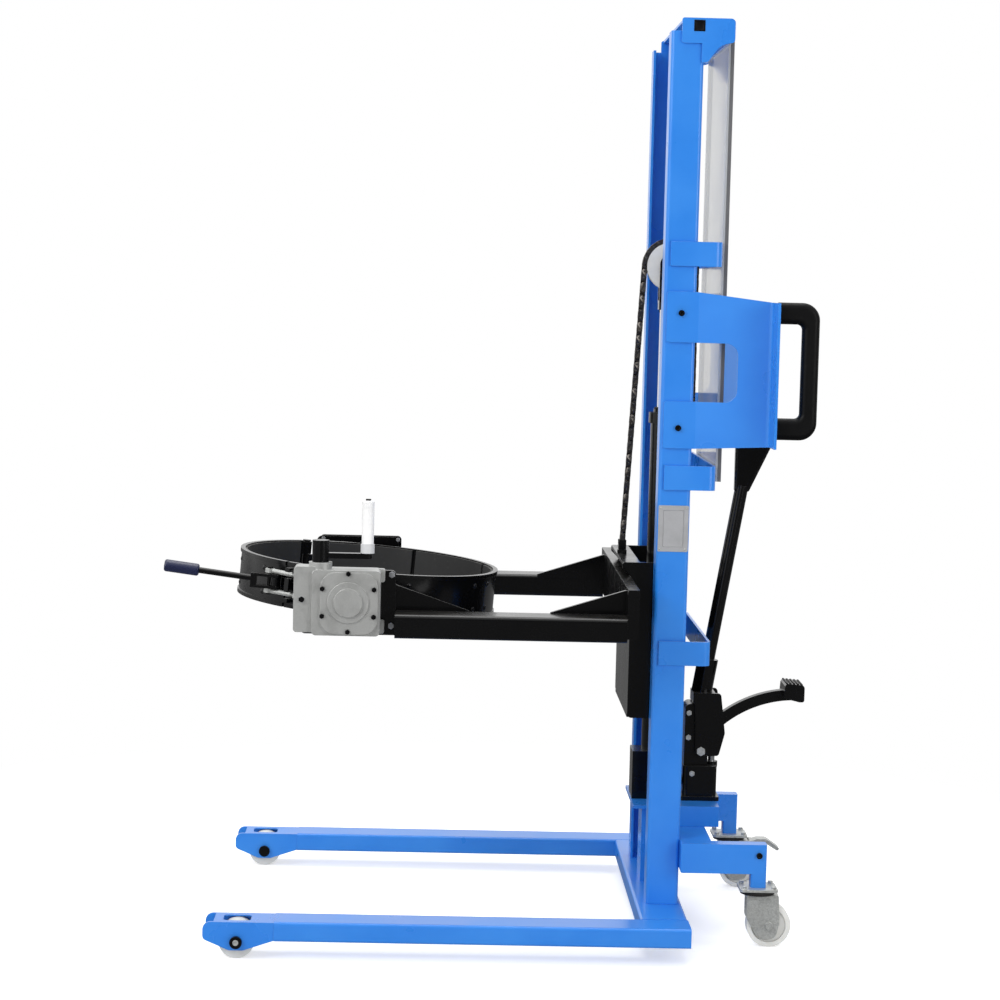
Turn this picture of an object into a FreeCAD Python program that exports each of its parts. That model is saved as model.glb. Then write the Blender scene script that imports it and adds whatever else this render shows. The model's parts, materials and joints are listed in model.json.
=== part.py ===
import FreeCAD, Part
import math
import os

# Drum tipper. Millimetres. X runs from the drum end (minus) to the operator's end (plus),
# Y runs across the machine (minus is the crank side), Z is up and the floor is zero.

V = FreeCAD.Vector
AX = {"x": V(1, 0, 0), "y": V(0, 1, 0), "z": V(0, 0, 1)}

# Reach of the two ends from the middle: clamp lever grip and foot pedal
HALF_LENGTH = 763.0

# Clearances
RUN_FIT = 0.05
SIDE_GAP = 1.0
ROLL_GAP = 0.3

# Straddle legs
LEG_SPACING = 900.0
LEG_W = 90.0
LEG_H = 45.0
LEG_TOP = 87.0
LEG_WALL = 4.0
LEG_CORNER = 7.0
LEG_FRONT_X = -477.0
LEG_REAR_X = 459.0
LEG_TIP_X = -636.0
CHEEK_T = 7.0
CHEEK_INSET = 2.0
CHEEK_LOW = 21.0
SLOT_LEN = 62.0
LOAD_AXLE_X = -561.0
LOAD_ROLLER_R = 40.0
LOAD_AXLE_R = 10.0
LOAD_HEAD_R = 14.0
LOAD_HEAD_T = 8.0

# Cross beam between the legs
BEAM_FRONT_X = 350.0
BEAM_WALL = 5.0

# Mast
MAST_W = 532.0
MAST_X = 374.0
MAST_D = 75.0
MAST_FLANGE = 60.0
MAST_WALL = 6.0
MAST_CORNER = 8.0
PLATE_T = 6.0
BRACE_LAP_X = 386.0
BRACE_REAR_X = 506.0
BRACE_H = 56.0
BRACE_Z = (650.0, 1057.0, 1570.0)
BEND_R = 16.0
CAP_FRONT_X = 397.0
CAP_REAR_X = 518.0
CAP_H = 57.0
CAP_OVER = 29.0
CAP_TOP = 2130.0
GUSSET_H = 43.0
CAP_EYE_X = 425.0
CAP_EYE = 23.0

# Clear guard behind the mast
GUARD_HALF = 222.0
GUARD_T = 3.0
GUARD_LIP = 9.0
GUARD_LOW = 1075.0
GUARD_STAND = 4.0
GUARD_SCREW_Y = 150.0
GUARD_SCREW_R = 7.0

# Blank plate on the near upright
TAG_LOW = 914.0
TAG_H = 107.0
TAG_W = 70.0
TAG_T = 1.0

# Handle brackets and grab handles
BRKT_FRONT_X = 381.0
BRKT_REAR_X = 628.0
BRKT_TOP = 1512.0
BRKT_REAR_TOP = 1491.0
BRKT_LOW = 1153.0
BRKT_REAR_LOW = 1162.0
BRKT_LIP = 84.0
BRKT_SPLAY = 24.0
WINDOW_LOW = 1261.0
WINDOW_TOP = 1396.0
WINDOW_REAR_X = 546.0
WINDOW_R = 28.0
BRKT_BOLT_X = 415.0
BRKT_BOLT_Z = (1200.0, 1463.0)
SCREW_R = 5.0
SCREW_HEAD_R = 7.0
SCREW_HEAD_H = 6.0
SCREW_KEY = 6.0
GRAB_W = 36.0
GRAB_BAR = 39.0
GRAB_ARM = 49.0
GRAB_REACH = 722.0
GRAB_LOW = 1182.0
GRAB_TOP = 1493.0
GRAB_CORNER = 40.0
GRAB_INNER = 12.0
GRAB_ROUND = 13.0

# Rear beam, outriggers and caster stems
REAR_BEAM_D = 75.0
REAR_LOW = 171.0
REAR_TOP = 240.0
STEM_SPACING = 574.0
STEM_W = 36.0
STEM_X = 631.0
STEM_LOW = 139.0
STEM_BOLT_Z = 215.0

# Pump platform and cylinder pedestal
DECK_TOP = 289.0
DECK_T = 8.0
DECK_FRONT_X = 350.0
DECK_REAR_X = 556.0
DECK_HALF = 120.0
PEDESTAL_HALF = 45.0

# Casters
CASTER_PLATE = 88.0
CASTER_PLATE_T = 6.0
CASTER_R = 51.0
CASTER_TRAIL = 27.0
CASTER_W = 32.0
CASTER_AXLE_R = 6.0
RACE_R = 27.0
RACE_T = 11.0
KING_R = 7.0
CROWN_T = 7.0
FORK_T = 4.0
FORK_FRONT = 26.0
FORK_REAR = 21.0
FORK_DROP = 32.0
BRAKE_REACH = 103.0
BRAKE_W = 34.0

# Lift cylinder
CYL_R = 36.0
CYL_BORE = 29.0
CYL_TOP = 1223.0
GLAND_R = 41.0
GLAND_T = 26.0
FOOT_FRONT_X = 352.0
FOOT_HALF = 42.0
FOOT_TOP = 405.0
ROD_R = 22.0
ROD_LOW = 665.0
PISTON_T = 50.0

# Chain sheave and leaf chain
SHEAVE_Z = 1571.0
SHEAVE_W = 26.0
SHEAVE_AXLE_R = 12.0
SHEAVE_LIP = 2.5
YOKE_HALF = 26.0
YOKE_T = 8.0
YOKE_DROP = 103.0
CHAIN_PITCH = 15.875
CHAIN_H = 13.0
CHAIN_CORE = 10.0
CHAIN_LEAF = 4.0
WRAP_LINKS = 12
FRONT_STAND = 24.0
REAR_STAND = 14.0
FRONT_ANCHOR_X = 315.0

# Lift carriage
CAR_FRONT_X = 298.0
CAR_BEAM_D = 25.0
CAR_BEAM_LOW = 735.0
CAR_BEAM_TOP = 846.0
CAR_PLATE_T = 8.0
CAR_LOW = 513.0
CAR_TOP = 880.0
CAR_SIDE_T = 12.0
CAR_SIDE_GAP = 8.0
CAR_SIDE_REAR_X = 440.0
GUIDE_W = 32.0
GUIDE_AXLE_R = 14.0
GUIDE_Z = (575.0, 845.0)

# Arms
ARM_SPACING = 834.0
ARM_W = 90.0
ARM_LOW = 726.0
ARM_H = 54.0
ARM_WALL = 5.0
ARM_CORNER = 9.0
ARM_FRONT_X = -222.0
REAR_GUSSET_X = 128.0
REAR_GUSSET_TOP = 836.0
FRONT_GUSSET_X = -56.0
WEB_T = 12.0
WEB_TOP = 869.0
WEB_LOW = 723.0
WEB_FRONT_X = -438.0

# Trunnion and worm gearbox
TRUN_X = -326.0
TRUN_Z = 806.0
SHAFT_R = 20.0
FLANGE_T = 10.0
BOX_HALF_X = 76.0
BOX_LOW = 731.0
BOX_H = 146.0
BOX_D = 74.0
BOX_CORNER = 10.0
WORM_X = -390.0
WORM_BLOCK_X = -448.0
WORM_SHAFT_R = 10.0
WORM_R = 14.5
WORM_LEN = 60.0
WHEEL_W = 24.0
TEETH = 40
MESH_GAP = 0.5
COVER_T = 8.0
COVER_BOSS_R = 32.0
COVER_BOSS_T = 8.0
COVER_BOLT_R = 65.0
FLANGE_BOLT_X = -231.0

# Crank
CRANK_R = 104.0
CRANK_HUB_R = 19.0
CRANK_HUB_H = 48.0
CRANK_BAR_T = 12.0
CRANK_BAR_W = 20.0
GRIP_R = 13.5
GRIP_H = 98.0
GRIP_FLANGE_R = 15.5
GRIP_FLANGE_H = 20.0
SPINDLE_R = 6.0

# Clamp ring, built level about the trunnion and then leaned by TILT
TILT = 4.16
RING_LEAD = 30.0
DRUM_R = 292.5
PAD_T = 6.0
BAND_T = 8.0
RIM_T = 3.0
RIM_H = 9.0
BAND_H = 106.0
LATCH_ANGLE = 233.3
HINGE_ANGLE = 122.0
SPLIT_GAP = 6.0
TRUN_BLOCK = 104.0
TRUN_BOSS_R = 36.0
TRUN_GAP = 4.0
HINGE_PIN_R = 6.0
KNUCKLE_R = 13.0
KNUCKLE_H = 36.0

# Over-centre latch on the ring
LATCH_RISE = 5.0
LATCH_STAND = 21.0
LATCH_THROW = 20.0
PIVOT_BACK = 12.0
PIVOT_R = 6.5
LUG_AHEAD = 34.0
LUG_T = 12.0
LUG_REACH = 46.0
BOLT_RISE = 23.0
BOLT_R = 6.0
BOLT_EYE_R = 11.0
NUT_GAP = 2.0
LEVER_R = 7.0
LEVER_GRIP_R = 14.0
LEVER_GRIP_SHARE = 0.396
LEVER_PLATE_T = 6.0
LEVER_CLIMB = 3.0

# Foot and hand pump
PUMP_X = 475.0
PUMP_D = 82.0
PUMP_HALF = 46.0
PUMP_TANK_TOP = 372.0
PUMP_TOWER_X = 528.0
PUMP_TOWER_HALF = 34.0
PUMP_TOP = 522.0
PORT_Z = 330.0
PUMP_SCREWS = ((496.0, 354.0), (486.0, 500.0), (486.0, 440.0))
ROCK_X = 516.0
ROCK_Z = 409.0
ROCK_T = 8.0
PLUNGER_X = 547.0
PLUNGER_R = 8.0
NOSE_GAP = 0.5
SOCKET_FRONT_X = 495.0
SOCKET_REAR_X = 548.0
SOCKET_T = 26.0
HAND_R = 16.0
HAND_FOOT = (517.0, 540.0)
HAND_TOP = (600.0, 1050.0)
SLEEVE_R = 25.0
SLEEVE_LEN = 90.0
DGRIP_T = 24.0
DGRIP_FRONT_X = 581.0
DGRIP_REAR_X = 668.0
DGRIP_TOP = 1262.0
DGRIP_SHOULDER = 1148.0
DGRIP_BAR = 19.0
PEDAL_W = 84.0
PEDAL_T = 26.0
PEDAL_BAR_W = 24.0
PEDAL_Z = (467.0, 524.0, 545.0)
PEDAL_BOW = 0.445
PEDAL_ROOT = 15.0
PEDAL_TIP = 13.0
PEDAL_PAD = 50.0
PEDAL_PAD_TOP = 577.0

# Sizes that follow from the ones above
LEG_Y = LEG_SPACING / 2
MAST_REAR_X = MAST_X + MAST_D
MAST_Y = MAST_W / 2
MAST_TOP = CAP_TOP - CAP_OVER
CAP_LOW = CAP_TOP - CAP_H
GUSSET_LOW = CAP_LOW - GUSSET_H
MAST_IN = MAST_Y - MAST_FLANGE
CYL_X = MAST_X + MAST_D / 2
WRAP_ARC = math.radians(177.0)
CHAIN_R = CHAIN_PITCH / (2 * math.sin(WRAP_ARC / WRAP_LINKS / 2))
YOKE_LOW = SHEAVE_Z - YOKE_DROP
FRONT_LINKS = int((SHEAVE_Z - CAR_TOP - FRONT_STAND) / CHAIN_PITCH)
REAR_LINKS = int((SHEAVE_Z - CYL_TOP - REAR_STAND) / CHAIN_PITCH)
SHEAVE_R = CHAIN_R * math.cos(WRAP_ARC / WRAP_LINKS / 2) - CHAIN_H / 2 - ROLL_GAP
CAR_SIDE_OUT = MAST_IN - CAR_SIDE_GAP
CAR_SIDE_IN = CAR_SIDE_OUT - CAR_SIDE_T
CAR_MID_X = CAR_FRONT_X + CAR_BEAM_D
GUIDE_R = MAST_D / 2 - MAST_WALL - ROLL_GAP
ARM_IN = ARM_SPACING / 2 - ARM_W / 2
ARM_OUT = ARM_IN + ARM_W
ARM_TOP = ARM_LOW + ARM_H
FLANGE_Y = ARM_IN + WEB_T
BOX_Y = FLANGE_Y + FLANGE_T
COVER_Y = BOX_Y + BOX_D
BOX_TOP = BOX_LOW + BOX_H
GEAR_Y = BOX_Y + BOX_D / 2 + 3
WHEEL_R = (TRUN_X - WORM_X) - WORM_R - MESH_GAP
RING_X = TRUN_X + RING_LEAD
PAD_R = DRUM_R + PAD_T
BAND_R = PAD_R + BAND_T
RING_R = BAND_R + RIM_T
STEM_Y = STEM_SPACING / 2
CASTER_TOP = STEM_LOW
RACE_TOP = STEM_LOW - CASTER_PLATE_T
CROWN_TOP = RACE_TOP - RACE_T
WHEEL_X = STEM_X + CASTER_TRAIL
PEDAL_FRONT_X = PLUNGER_X + 20


def slab(x0, x1, y0, y1, z0, z1):
    return Part.makeBox(x1 - x0, y1 - y0, z1 - z0, V(x0, y0, z0))


def rod(radius, length, x, y, z, axis):
    return Part.makeCylinder(radius, length, V(x, y, z), AX[axis])


def corner(before, here, after, radius):
    """Points where a rounded corner starts, is halfway and ends."""
    one = before - here
    two = after - here
    room = 0.45 * min(one.Length, two.Length)
    one.normalize()
    two.normalize()
    half = math.acos(max(-1.0, min(1.0, one.dot(two)))) / 2
    back = min(radius / math.tan(half), room)
    radius = back * math.tan(half)
    middle = one + two
    middle.normalize()
    middle = here + middle * (radius / math.sin(half) - radius)
    return here + one * back, middle, here + two * back


def outline(points, place):
    """Closed face through points (a, b) or (a, b, corner radius)."""
    spots = [place(p[0], p[1]) for p in points]
    bends = []
    for i, p in enumerate(points):
        if len(p) > 2:
            bends.append(corner(spots[i - 1], spots[i], spots[(i + 1) % len(spots)], p[2]))
        else:
            bends.append((spots[i],))
    edges = []
    for i, bend in enumerate(bends):
        start = bends[i - 1][-1]
        if (bend[0] - start).Length > 1e-4:
            edges.append(Part.LineSegment(start, bend[0]).toShape())
        if len(bend) == 3:
            edges.append(Part.Arc(*bend).toShape())
    return Part.Face(Part.Wire(edges))


def plate(points, plane, low, high):
    """Flat plate with the given outline between two levels of the third axis."""
    if plane == "xz":
        return outline(points, lambda a, b: V(a, low, b)).extrude(V(0, high - low, 0))
    if plane == "xy":
        return outline(points, lambda a, b: V(a, b, low)).extrude(V(0, 0, high - low))
    return outline(points, lambda a, b: V(low, a, b)).extrude(V(high - low, 0, 0))


def oblong(a0, a1, b0, b1, radius):
    return [(a0, b0, radius), (a1, b0, radius), (a1, b1, radius), (a0, b1, radius)]


def hexagon(across, height, x, y, z, axis):
    """Six-sided head or nut standing on a point along an axis."""
    ring = []
    for k in range(7):
        turn = math.radians(60 * k + 30)
        ring.append((across / math.sqrt(3) * math.cos(turn), across / math.sqrt(3) * math.sin(turn)))
    spots = {
        "x": [V(x, y + a, z + b) for a, b in ring],
        "y": [V(x + a, y, z + b) for a, b in ring],
        "z": [V(x + a, y + b, z) for a, b in ring],
    }[axis]
    return Part.Face(Part.makePolygon(spots)).extrude(AX[axis] * height)


def mirror(shape):
    return shape.mirror(V(0, 0, 0), V(0, 1, 0))


def weld(first, *others):
    return first.fuse(list(others)).removeSplitter()


def save(node, *shapes):
    shape = shapes[0] if len(shapes) == 1 else Part.makeCompound(list(shapes))
    shape.exportStep("parts/%s.step" % node)


# Near leg: hollow tube with a forked nose that carries the load roller
def leg():
    y0 = -LEG_Y - LEG_W / 2
    y1 = y0 + LEG_W
    low = LEG_TOP - LEG_H
    tube = plate(oblong(y0, y1, low, LEG_TOP, LEG_CORNER), "yz", LEG_FRONT_X, LEG_REAR_X)
    hollow = plate(oblong(y0 + LEG_WALL, y1 - LEG_WALL, low + LEG_WALL, LEG_TOP - LEG_WALL, LEG_CORNER / 2),
                   "yz", LEG_FRONT_X - 1, LEG_REAR_X - LEG_WALL)
    top = LEG_TOP - CHEEK_INSET
    lap = LEG_FRONT_X + 20
    cheek = [(LEG_TIP_X, top, 22), (LEG_TIP_X, 46, 12), (LOAD_AXLE_X - 16, CHEEK_LOW, 14),
             (LOAD_AXLE_X + 16, CHEEK_LOW, 14), (LEG_FRONT_X, low + 2, 10), (lap, low + 2), (lap, top)]
    c0 = y0 + CHEEK_INSET
    c1 = y1 - CHEEK_INSET
    near = plate(cheek, "xz", c0, c0 + CHEEK_T)
    far = plate(cheek, "xz", c1 - CHEEK_T, c1)
    bridge = slab(LEG_TIP_X + 24, lap, c0, c1, top - CHEEK_T / 2, top)
    slot = plate(oblong(LOAD_AXLE_X - SLOT_LEN / 2, LOAD_AXLE_X + SLOT_LEN / 2, c0 + 18, c1 - 18, 10),
                 "xy", top - CHEEK_T, LEG_TOP + 1)
    body = weld(tube.cut(hollow), near, far, bridge).cut(slot)
    return body.cut(rod(LOAD_AXLE_R, LEG_W + 2, LOAD_AXLE_X, y0 - 1, LOAD_ROLLER_R, "y"))


def load_roller():
    inner = LEG_W - 2 * (CHEEK_INSET + CHEEK_T + SIDE_GAP)
    tread = inner - 8
    body = rod(LOAD_ROLLER_R, tread, LOAD_AXLE_X, -LEG_Y - tread / 2, LOAD_ROLLER_R, "y")
    body = weld(body, rod(LOAD_AXLE_R + 7, inner, LOAD_AXLE_X, -LEG_Y - inner / 2, LOAD_ROLLER_R, "y"))
    return body.cut(rod(LOAD_AXLE_R + RUN_FIT, LEG_W, LOAD_AXLE_X, -LEG_Y - LEG_W / 2, LOAD_ROLLER_R, "y"))


def load_axle():
    span = LEG_W - 2 * CHEEK_INSET
    y0 = -LEG_Y - span / 2
    shank = rod(LOAD_AXLE_R, span, LOAD_AXLE_X, y0, LOAD_ROLLER_R, "y")
    head = rod(LOAD_HEAD_R, LOAD_HEAD_T, LOAD_AXLE_X, y0 - LOAD_HEAD_T, LOAD_ROLLER_R, "y")
    tail = rod(LOAD_HEAD_R, LOAD_HEAD_T, LOAD_AXLE_X, y0 + span, LOAD_ROLLER_R, "y")
    return weld(shank, head, tail)


def cross_beam():
    y = LEG_Y - LEG_W / 2
    low = LEG_TOP - LEG_H
    tube = plate(oblong(BEAM_FRONT_X, LEG_REAR_X, low, LEG_TOP, LEG_CORNER), "xz", -y, y)
    inner = plate(oblong(BEAM_FRONT_X + BEAM_WALL, LEG_REAR_X - BEAM_WALL, low + BEAM_WALL,
                         LEG_TOP - BEAM_WALL, LEG_CORNER / 2), "xz", -y, y)
    return tube.cut(inner)


# Mast upright: rolled channel open to the inside, drilled for the bracket bolts
def upright():
    y0 = -MAST_Y
    y1 = -MAST_IN
    w = MAST_WALL
    path = [(MAST_X, y1), (MAST_X, y0, MAST_CORNER), (MAST_REAR_X, y0, MAST_CORNER), (MAST_REAR_X, y1),
            (MAST_REAR_X - w, y1), (MAST_REAR_X - w, y0 + w, 3), (MAST_X + w, y0 + w, 3), (MAST_X + w, y1)]
    body = plate(path, "xy", LEG_TOP, MAST_TOP)
    for z in BRKT_BOLT_Z:
        body = body.cut(rod(5, 3 * w, BRKT_BOLT_X, y0 - w, z, "y"))
    return body


def strap(front, rear, low, high):
    """U of flat bar round the outside of the two uprights."""
    out = MAST_Y + PLATE_T
    path = [(front, -out), (rear, -out, BEND_R), (rear, out, BEND_R), (front, out), (front, MAST_Y),
            (rear - PLATE_T, MAST_Y, BEND_R - PLATE_T), (rear - PLATE_T, -MAST_Y, BEND_R - PLATE_T),
            (front, -MAST_Y)]
    return plate(path, "xy", low, high)


def mast_cap():
    out = MAST_Y + PLATE_T
    side = [(CAP_FRONT_X, CAP_TOP, 5), (CAP_REAR_X, CAP_TOP, 10), (CAP_REAR_X, CAP_LOW + 4, 8),
            (CAP_REAR_X - 34, CAP_LOW - 4, 40), (MAST_REAR_X + 8, GUSSET_LOW, 12),
            (MAST_REAR_X - 6, GUSSET_LOW),
            (MAST_REAR_X - 6, CAP_LOW), (CAP_FRONT_X, CAP_LOW, 5)]
    near = plate(side, "xz", -out, -MAST_Y)
    eye = oblong(CAP_EYE_X, CAP_EYE_X + CAP_EYE, CAP_TOP - PLATE_T - CAP_EYE, CAP_TOP - PLATE_T, 4)
    near = near.cut(plate(eye, "xz", -out - 1, 1 - MAST_Y))
    roof = slab(CAP_FRONT_X + 5, CAP_REAR_X - 10, -MAST_Y, MAST_Y, CAP_TOP - PLATE_T, CAP_TOP)
    lip_x = BRACE_REAR_X + GUARD_STAND
    lip = slab(lip_x - PLATE_T, lip_x, -MAST_Y, MAST_Y, CAP_LOW + 4, CAP_TOP - PLATE_T)
    return weld(roof, lip, near, mirror(near))


def guard():
    x1 = BRACE_REAR_X + GUARD_STAND + GUARD_T
    x0 = x1 - GUARD_T
    end = x1 + GUARD_LIP
    half = GUARD_HALF
    inside = half - GUARD_T
    path = [(end, -half), (x0, -half, 5), (x0, half, 5), (end, half), (end, inside), (x1, inside, 2),
            (x1, -inside, 2), (end, -inside)]
    panel = plate(path, "xy", GUARD_LOW, CAP_LOW + 30)
    sides = (-GUARD_SCREW_Y, GUARD_SCREW_Y)
    spots = [(y, BRACE_Z[k] + BRACE_H / 2) for y in sides for k in (1, 2)]
    lip_spots = [(y, CAP_LOW + 17) for y in sides]
    spacers = [rod(GUARD_SCREW_R + 2, GUARD_STAND, BRACE_REAR_X, y, z, "x") for y, z in spots]
    screws = [rod(GUARD_SCREW_R, 3, x1, y, z, "x") for y, z in spots + lip_spots]
    return panel, spacers + screws


def tag():
    x = CYL_X - TAG_W / 2
    return plate(oblong(x, x + TAG_W, TAG_LOW, TAG_LOW + TAG_H, 3), "xz", -MAST_Y - TAG_T, -MAST_Y)


# Side bracket of the handle frame: bent sheet with two ears on the upright and a window
def handle_bracket():
    out = MAST_Y + PLATE_T
    side = [(BRKT_FRONT_X, BRKT_TOP, 6), (MAST_REAR_X, BRKT_TOP, 40), (BRKT_REAR_X, BRKT_REAR_TOP),
            (BRKT_REAR_X, BRKT_REAR_LOW), (MAST_REAR_X, BRKT_LOW, 40), (BRKT_FRONT_X, BRKT_LOW, 6),
            (BRKT_FRONT_X, WINDOW_LOW, 6), (WINDOW_REAR_X, WINDOW_LOW, WINDOW_R),
            (WINDOW_REAR_X, WINDOW_TOP, WINDOW_R),
            (BRKT_FRONT_X, WINDOW_TOP, 6)]
    rear = BRKT_REAR_X - PLATE_T
    wide = out + BRKT_SPLAY
    bend_x = MAST_REAR_X + 4
    bent = [(BRKT_FRONT_X, -out), (bend_x, -out, 30), (rear, -wide, 10), (rear, -wide - BRKT_LIP),
            (BRKT_REAR_X, -wide - BRKT_LIP), (BRKT_REAR_X, PLATE_T - wide, 16), (bend_x, -MAST_Y, 30),
            (BRKT_FRONT_X, -MAST_Y)]
    sheet = plate(bent, "xy", BRKT_LOW - 1, BRKT_TOP + 1)
    body = sheet.common(plate(side, "xz", -wide - BRKT_LIP - 1, 0))
    for z in BRKT_BOLT_Z:
        body = body.cut(rod(SCREW_R, 2 * PLATE_T, BRKT_BOLT_X, -out - 1, z, "y"))
    return body


def grab_handle():
    """Moulded hand grip on the bracket's lip, rounded all round."""
    x0 = BRKT_REAR_X
    x1 = GRAB_REACH
    inner = x1 - GRAB_BAR
    low = GRAB_LOW + GRAB_ARM
    top = GRAB_TOP - GRAB_ARM
    mid = MAST_Y + PLATE_T + BRKT_SPLAY + BRKT_LIP / 2
    shape = [(x0, GRAB_TOP), (x1, GRAB_TOP, GRAB_CORNER), (x1, GRAB_LOW, GRAB_CORNER), (x0, GRAB_LOW),
             (x0, low), (inner, low, GRAB_INNER), (inner, top, GRAB_INNER), (x0, top)]
    grip = plate(shape, "xz", -mid - GRAB_W / 2, GRAB_W / 2 - mid)
    rims = [e for e in grip.Edges if e.BoundBox.YLength < 0.1 and e.BoundBox.XMax > x0 + 0.1]
    return grip.makeFillet(GRAB_ROUND, rims)


def socket_screw(x, y, z, depth):
    """Round-headed screw with a hexagon socket, driven along plus Y from the face at y."""
    head = rod(SCREW_HEAD_R, SCREW_HEAD_H, x, y - SCREW_HEAD_H, z, "y")
    head = head.cut(hexagon(SCREW_KEY, SCREW_HEAD_H / 2, x, y - SCREW_HEAD_H, z, "y"))
    return weld(head, rod(SCREW_R, depth, x, y, z, "y"))


def bracket_bolts():
    near = [socket_screw(BRKT_BOLT_X, -MAST_Y - PLATE_T, z, PLATE_T + MAST_WALL) for z in BRKT_BOLT_Z]
    return near + [mirror(screw) for screw in near]


# Rear beam with the outriggers and stems that carry the casters
def caster_frame():
    end = STEM_Y + STEM_W / 2
    x1 = MAST_REAR_X + REAR_BEAM_D
    beam = plate(oblong(MAST_REAR_X, x1, REAR_LOW, REAR_TOP, 4), "xz", -end, end)
    w = BEAM_WALL
    inner = slab(MAST_REAR_X + w, x1 - w, w - end, end - w, REAR_LOW + w, REAR_TOP - w)
    beam = beam.cut(inner)
    sides = []
    for s in (-1, 1):
        y0 = s * STEM_Y - STEM_W / 2
        y1 = y0 + STEM_W
        sides.append(slab(x1 - 2, STEM_X, y0, y1, REAR_LOW, REAR_TOP))
        half = STEM_W / 2
        sides.append(plate(oblong(STEM_X - half, STEM_X + half, y0, y1, 5), "xy", STEM_LOW, REAR_TOP))
    return weld(beam, *sides)


def stem_bolts():
    y = STEM_Y + STEM_W / 2
    near = rod(SCREW_HEAD_R, SCREW_HEAD_H, STEM_X, -y - SCREW_HEAD_H, STEM_BOLT_Z, "y")
    near = near.cut(hexagon(SCREW_KEY, SCREW_HEAD_H / 2, STEM_X, -y - SCREW_HEAD_H, STEM_BOLT_Z, "y"))
    return [near, mirror(near)]


def pump_deck():
    top = slab(DECK_FRONT_X, DECK_REAR_X, -DECK_HALF, DECK_HALF, DECK_TOP - DECK_T, DECK_TOP)
    w = DECK_T
    skirt = slab(MAST_REAR_X + 4, DECK_REAR_X, -DECK_HALF, w - DECK_HALF, REAR_TOP, DECK_TOP - w)
    apron = slab(DECK_REAR_X - w, DECK_REAR_X, -DECK_HALF, DECK_HALF, REAR_TOP, DECK_TOP - w)
    post = slab(MAST_X + 4, MAST_REAR_X - 4, -PEDESTAL_HALF, PEDESTAL_HALF, LEG_TOP, DECK_TOP - w)
    core = slab(MAST_X + 10, MAST_REAR_X - 10, 6 - PEDESTAL_HALF, PEDESTAL_HALF - 6, LEG_TOP, DECK_TOP - w)
    return weld(top, skirt, mirror(skirt), apron, post.cut(core))


# Caster built on the near side: bolted plate, swivelling fork, wheel
def caster():
    y = -STEM_Y
    half = CASTER_PLATE / 2
    top = plate(oblong(STEM_X - half, STEM_X + half, y - 40, y + 40, 9), "xy", RACE_TOP, CASTER_TOP)
    race = rod(RACE_R + 3, RACE_T - SIDE_GAP, STEM_X, y, CROWN_TOP + SIDE_GAP, "z")
    king = rod(KING_R, RACE_T + CROWN_T + 2, STEM_X, y, CROWN_TOP - CROWN_T - 2, "z")
    nut = rod(KING_R + 4, 2, STEM_X, y, CROWN_TOP - CROWN_T - SIDE_GAP - 2, "z")
    king = weld(king, nut)
    bolts = []
    for sx in (-1, 1):
        for sy in (-1, 1):
            bolts.append(hexagon(11, 6, STEM_X + sx * (half - 10), y + sy * 30, CASTER_TOP, "z"))
    mount = weld(top, race, king, *bolts)
    out = CASTER_W / 2 + SIDE_GAP + 1 + FORK_T
    low = CROWN_TOP - CROWN_T
    front = STEM_X - FORK_FRONT
    rear = WHEEL_X + FORK_REAR
    sole = CASTER_R - FORK_DROP
    crown = plate([(front, y - out, 12), (rear, y - out, 8), (rear, y + out, 8), (front, y + out, 12)],
                  "xy", low, CROWN_TOP)
    side = [(front, CROWN_TOP, 3), (front, CASTER_R + 16, 30), (WHEEL_X - 22, sole, 24),
            (WHEEL_X + 16, sole, 22),
            (rear + 3, CASTER_R + 8, 22), (rear, CROWN_TOP, 3)]
    near = plate(side, "xz", y - out, y - out + FORK_T)
    far = plate(side, "xz", y + out - FORK_T, y + out)
    fork = weld(crown, near, far)
    fork = fork.cut(rod(KING_R + RUN_FIT, 40, STEM_X, y, low - 10, "z"))
    fork = fork.cut(rod(CASTER_AXLE_R, 2 * out, WHEEL_X, y - out, CASTER_R, "y"))
    axle = rod(CASTER_AXLE_R, 2 * out, WHEEL_X, y - out, CASTER_R, "y")
    head = hexagon(17, 6, WHEEL_X, y - out - 6, CASTER_R, "y")
    tail = hexagon(17, 6, WHEEL_X, y + out, CASTER_R, "y")
    axle = weld(axle, head, tail)
    w = CASTER_W
    wheel = rod(CASTER_R, w, WHEEL_X, y - w / 2, CASTER_R, "y")
    for s in (y - w / 2, y + w / 2 - 5):
        wheel = wheel.cut(rod(CASTER_R - 11, 5, WHEEL_X, s, CASTER_R, "y").cut(
            rod(17, 5, WHEEL_X, s, CASTER_R, "y")))
    wheel = wheel.cut(rod(CASTER_AXLE_R + RUN_FIT, w, WHEEL_X, y - w / 2, CASTER_R, "y"))
    return mount, fork, axle, wheel


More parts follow.
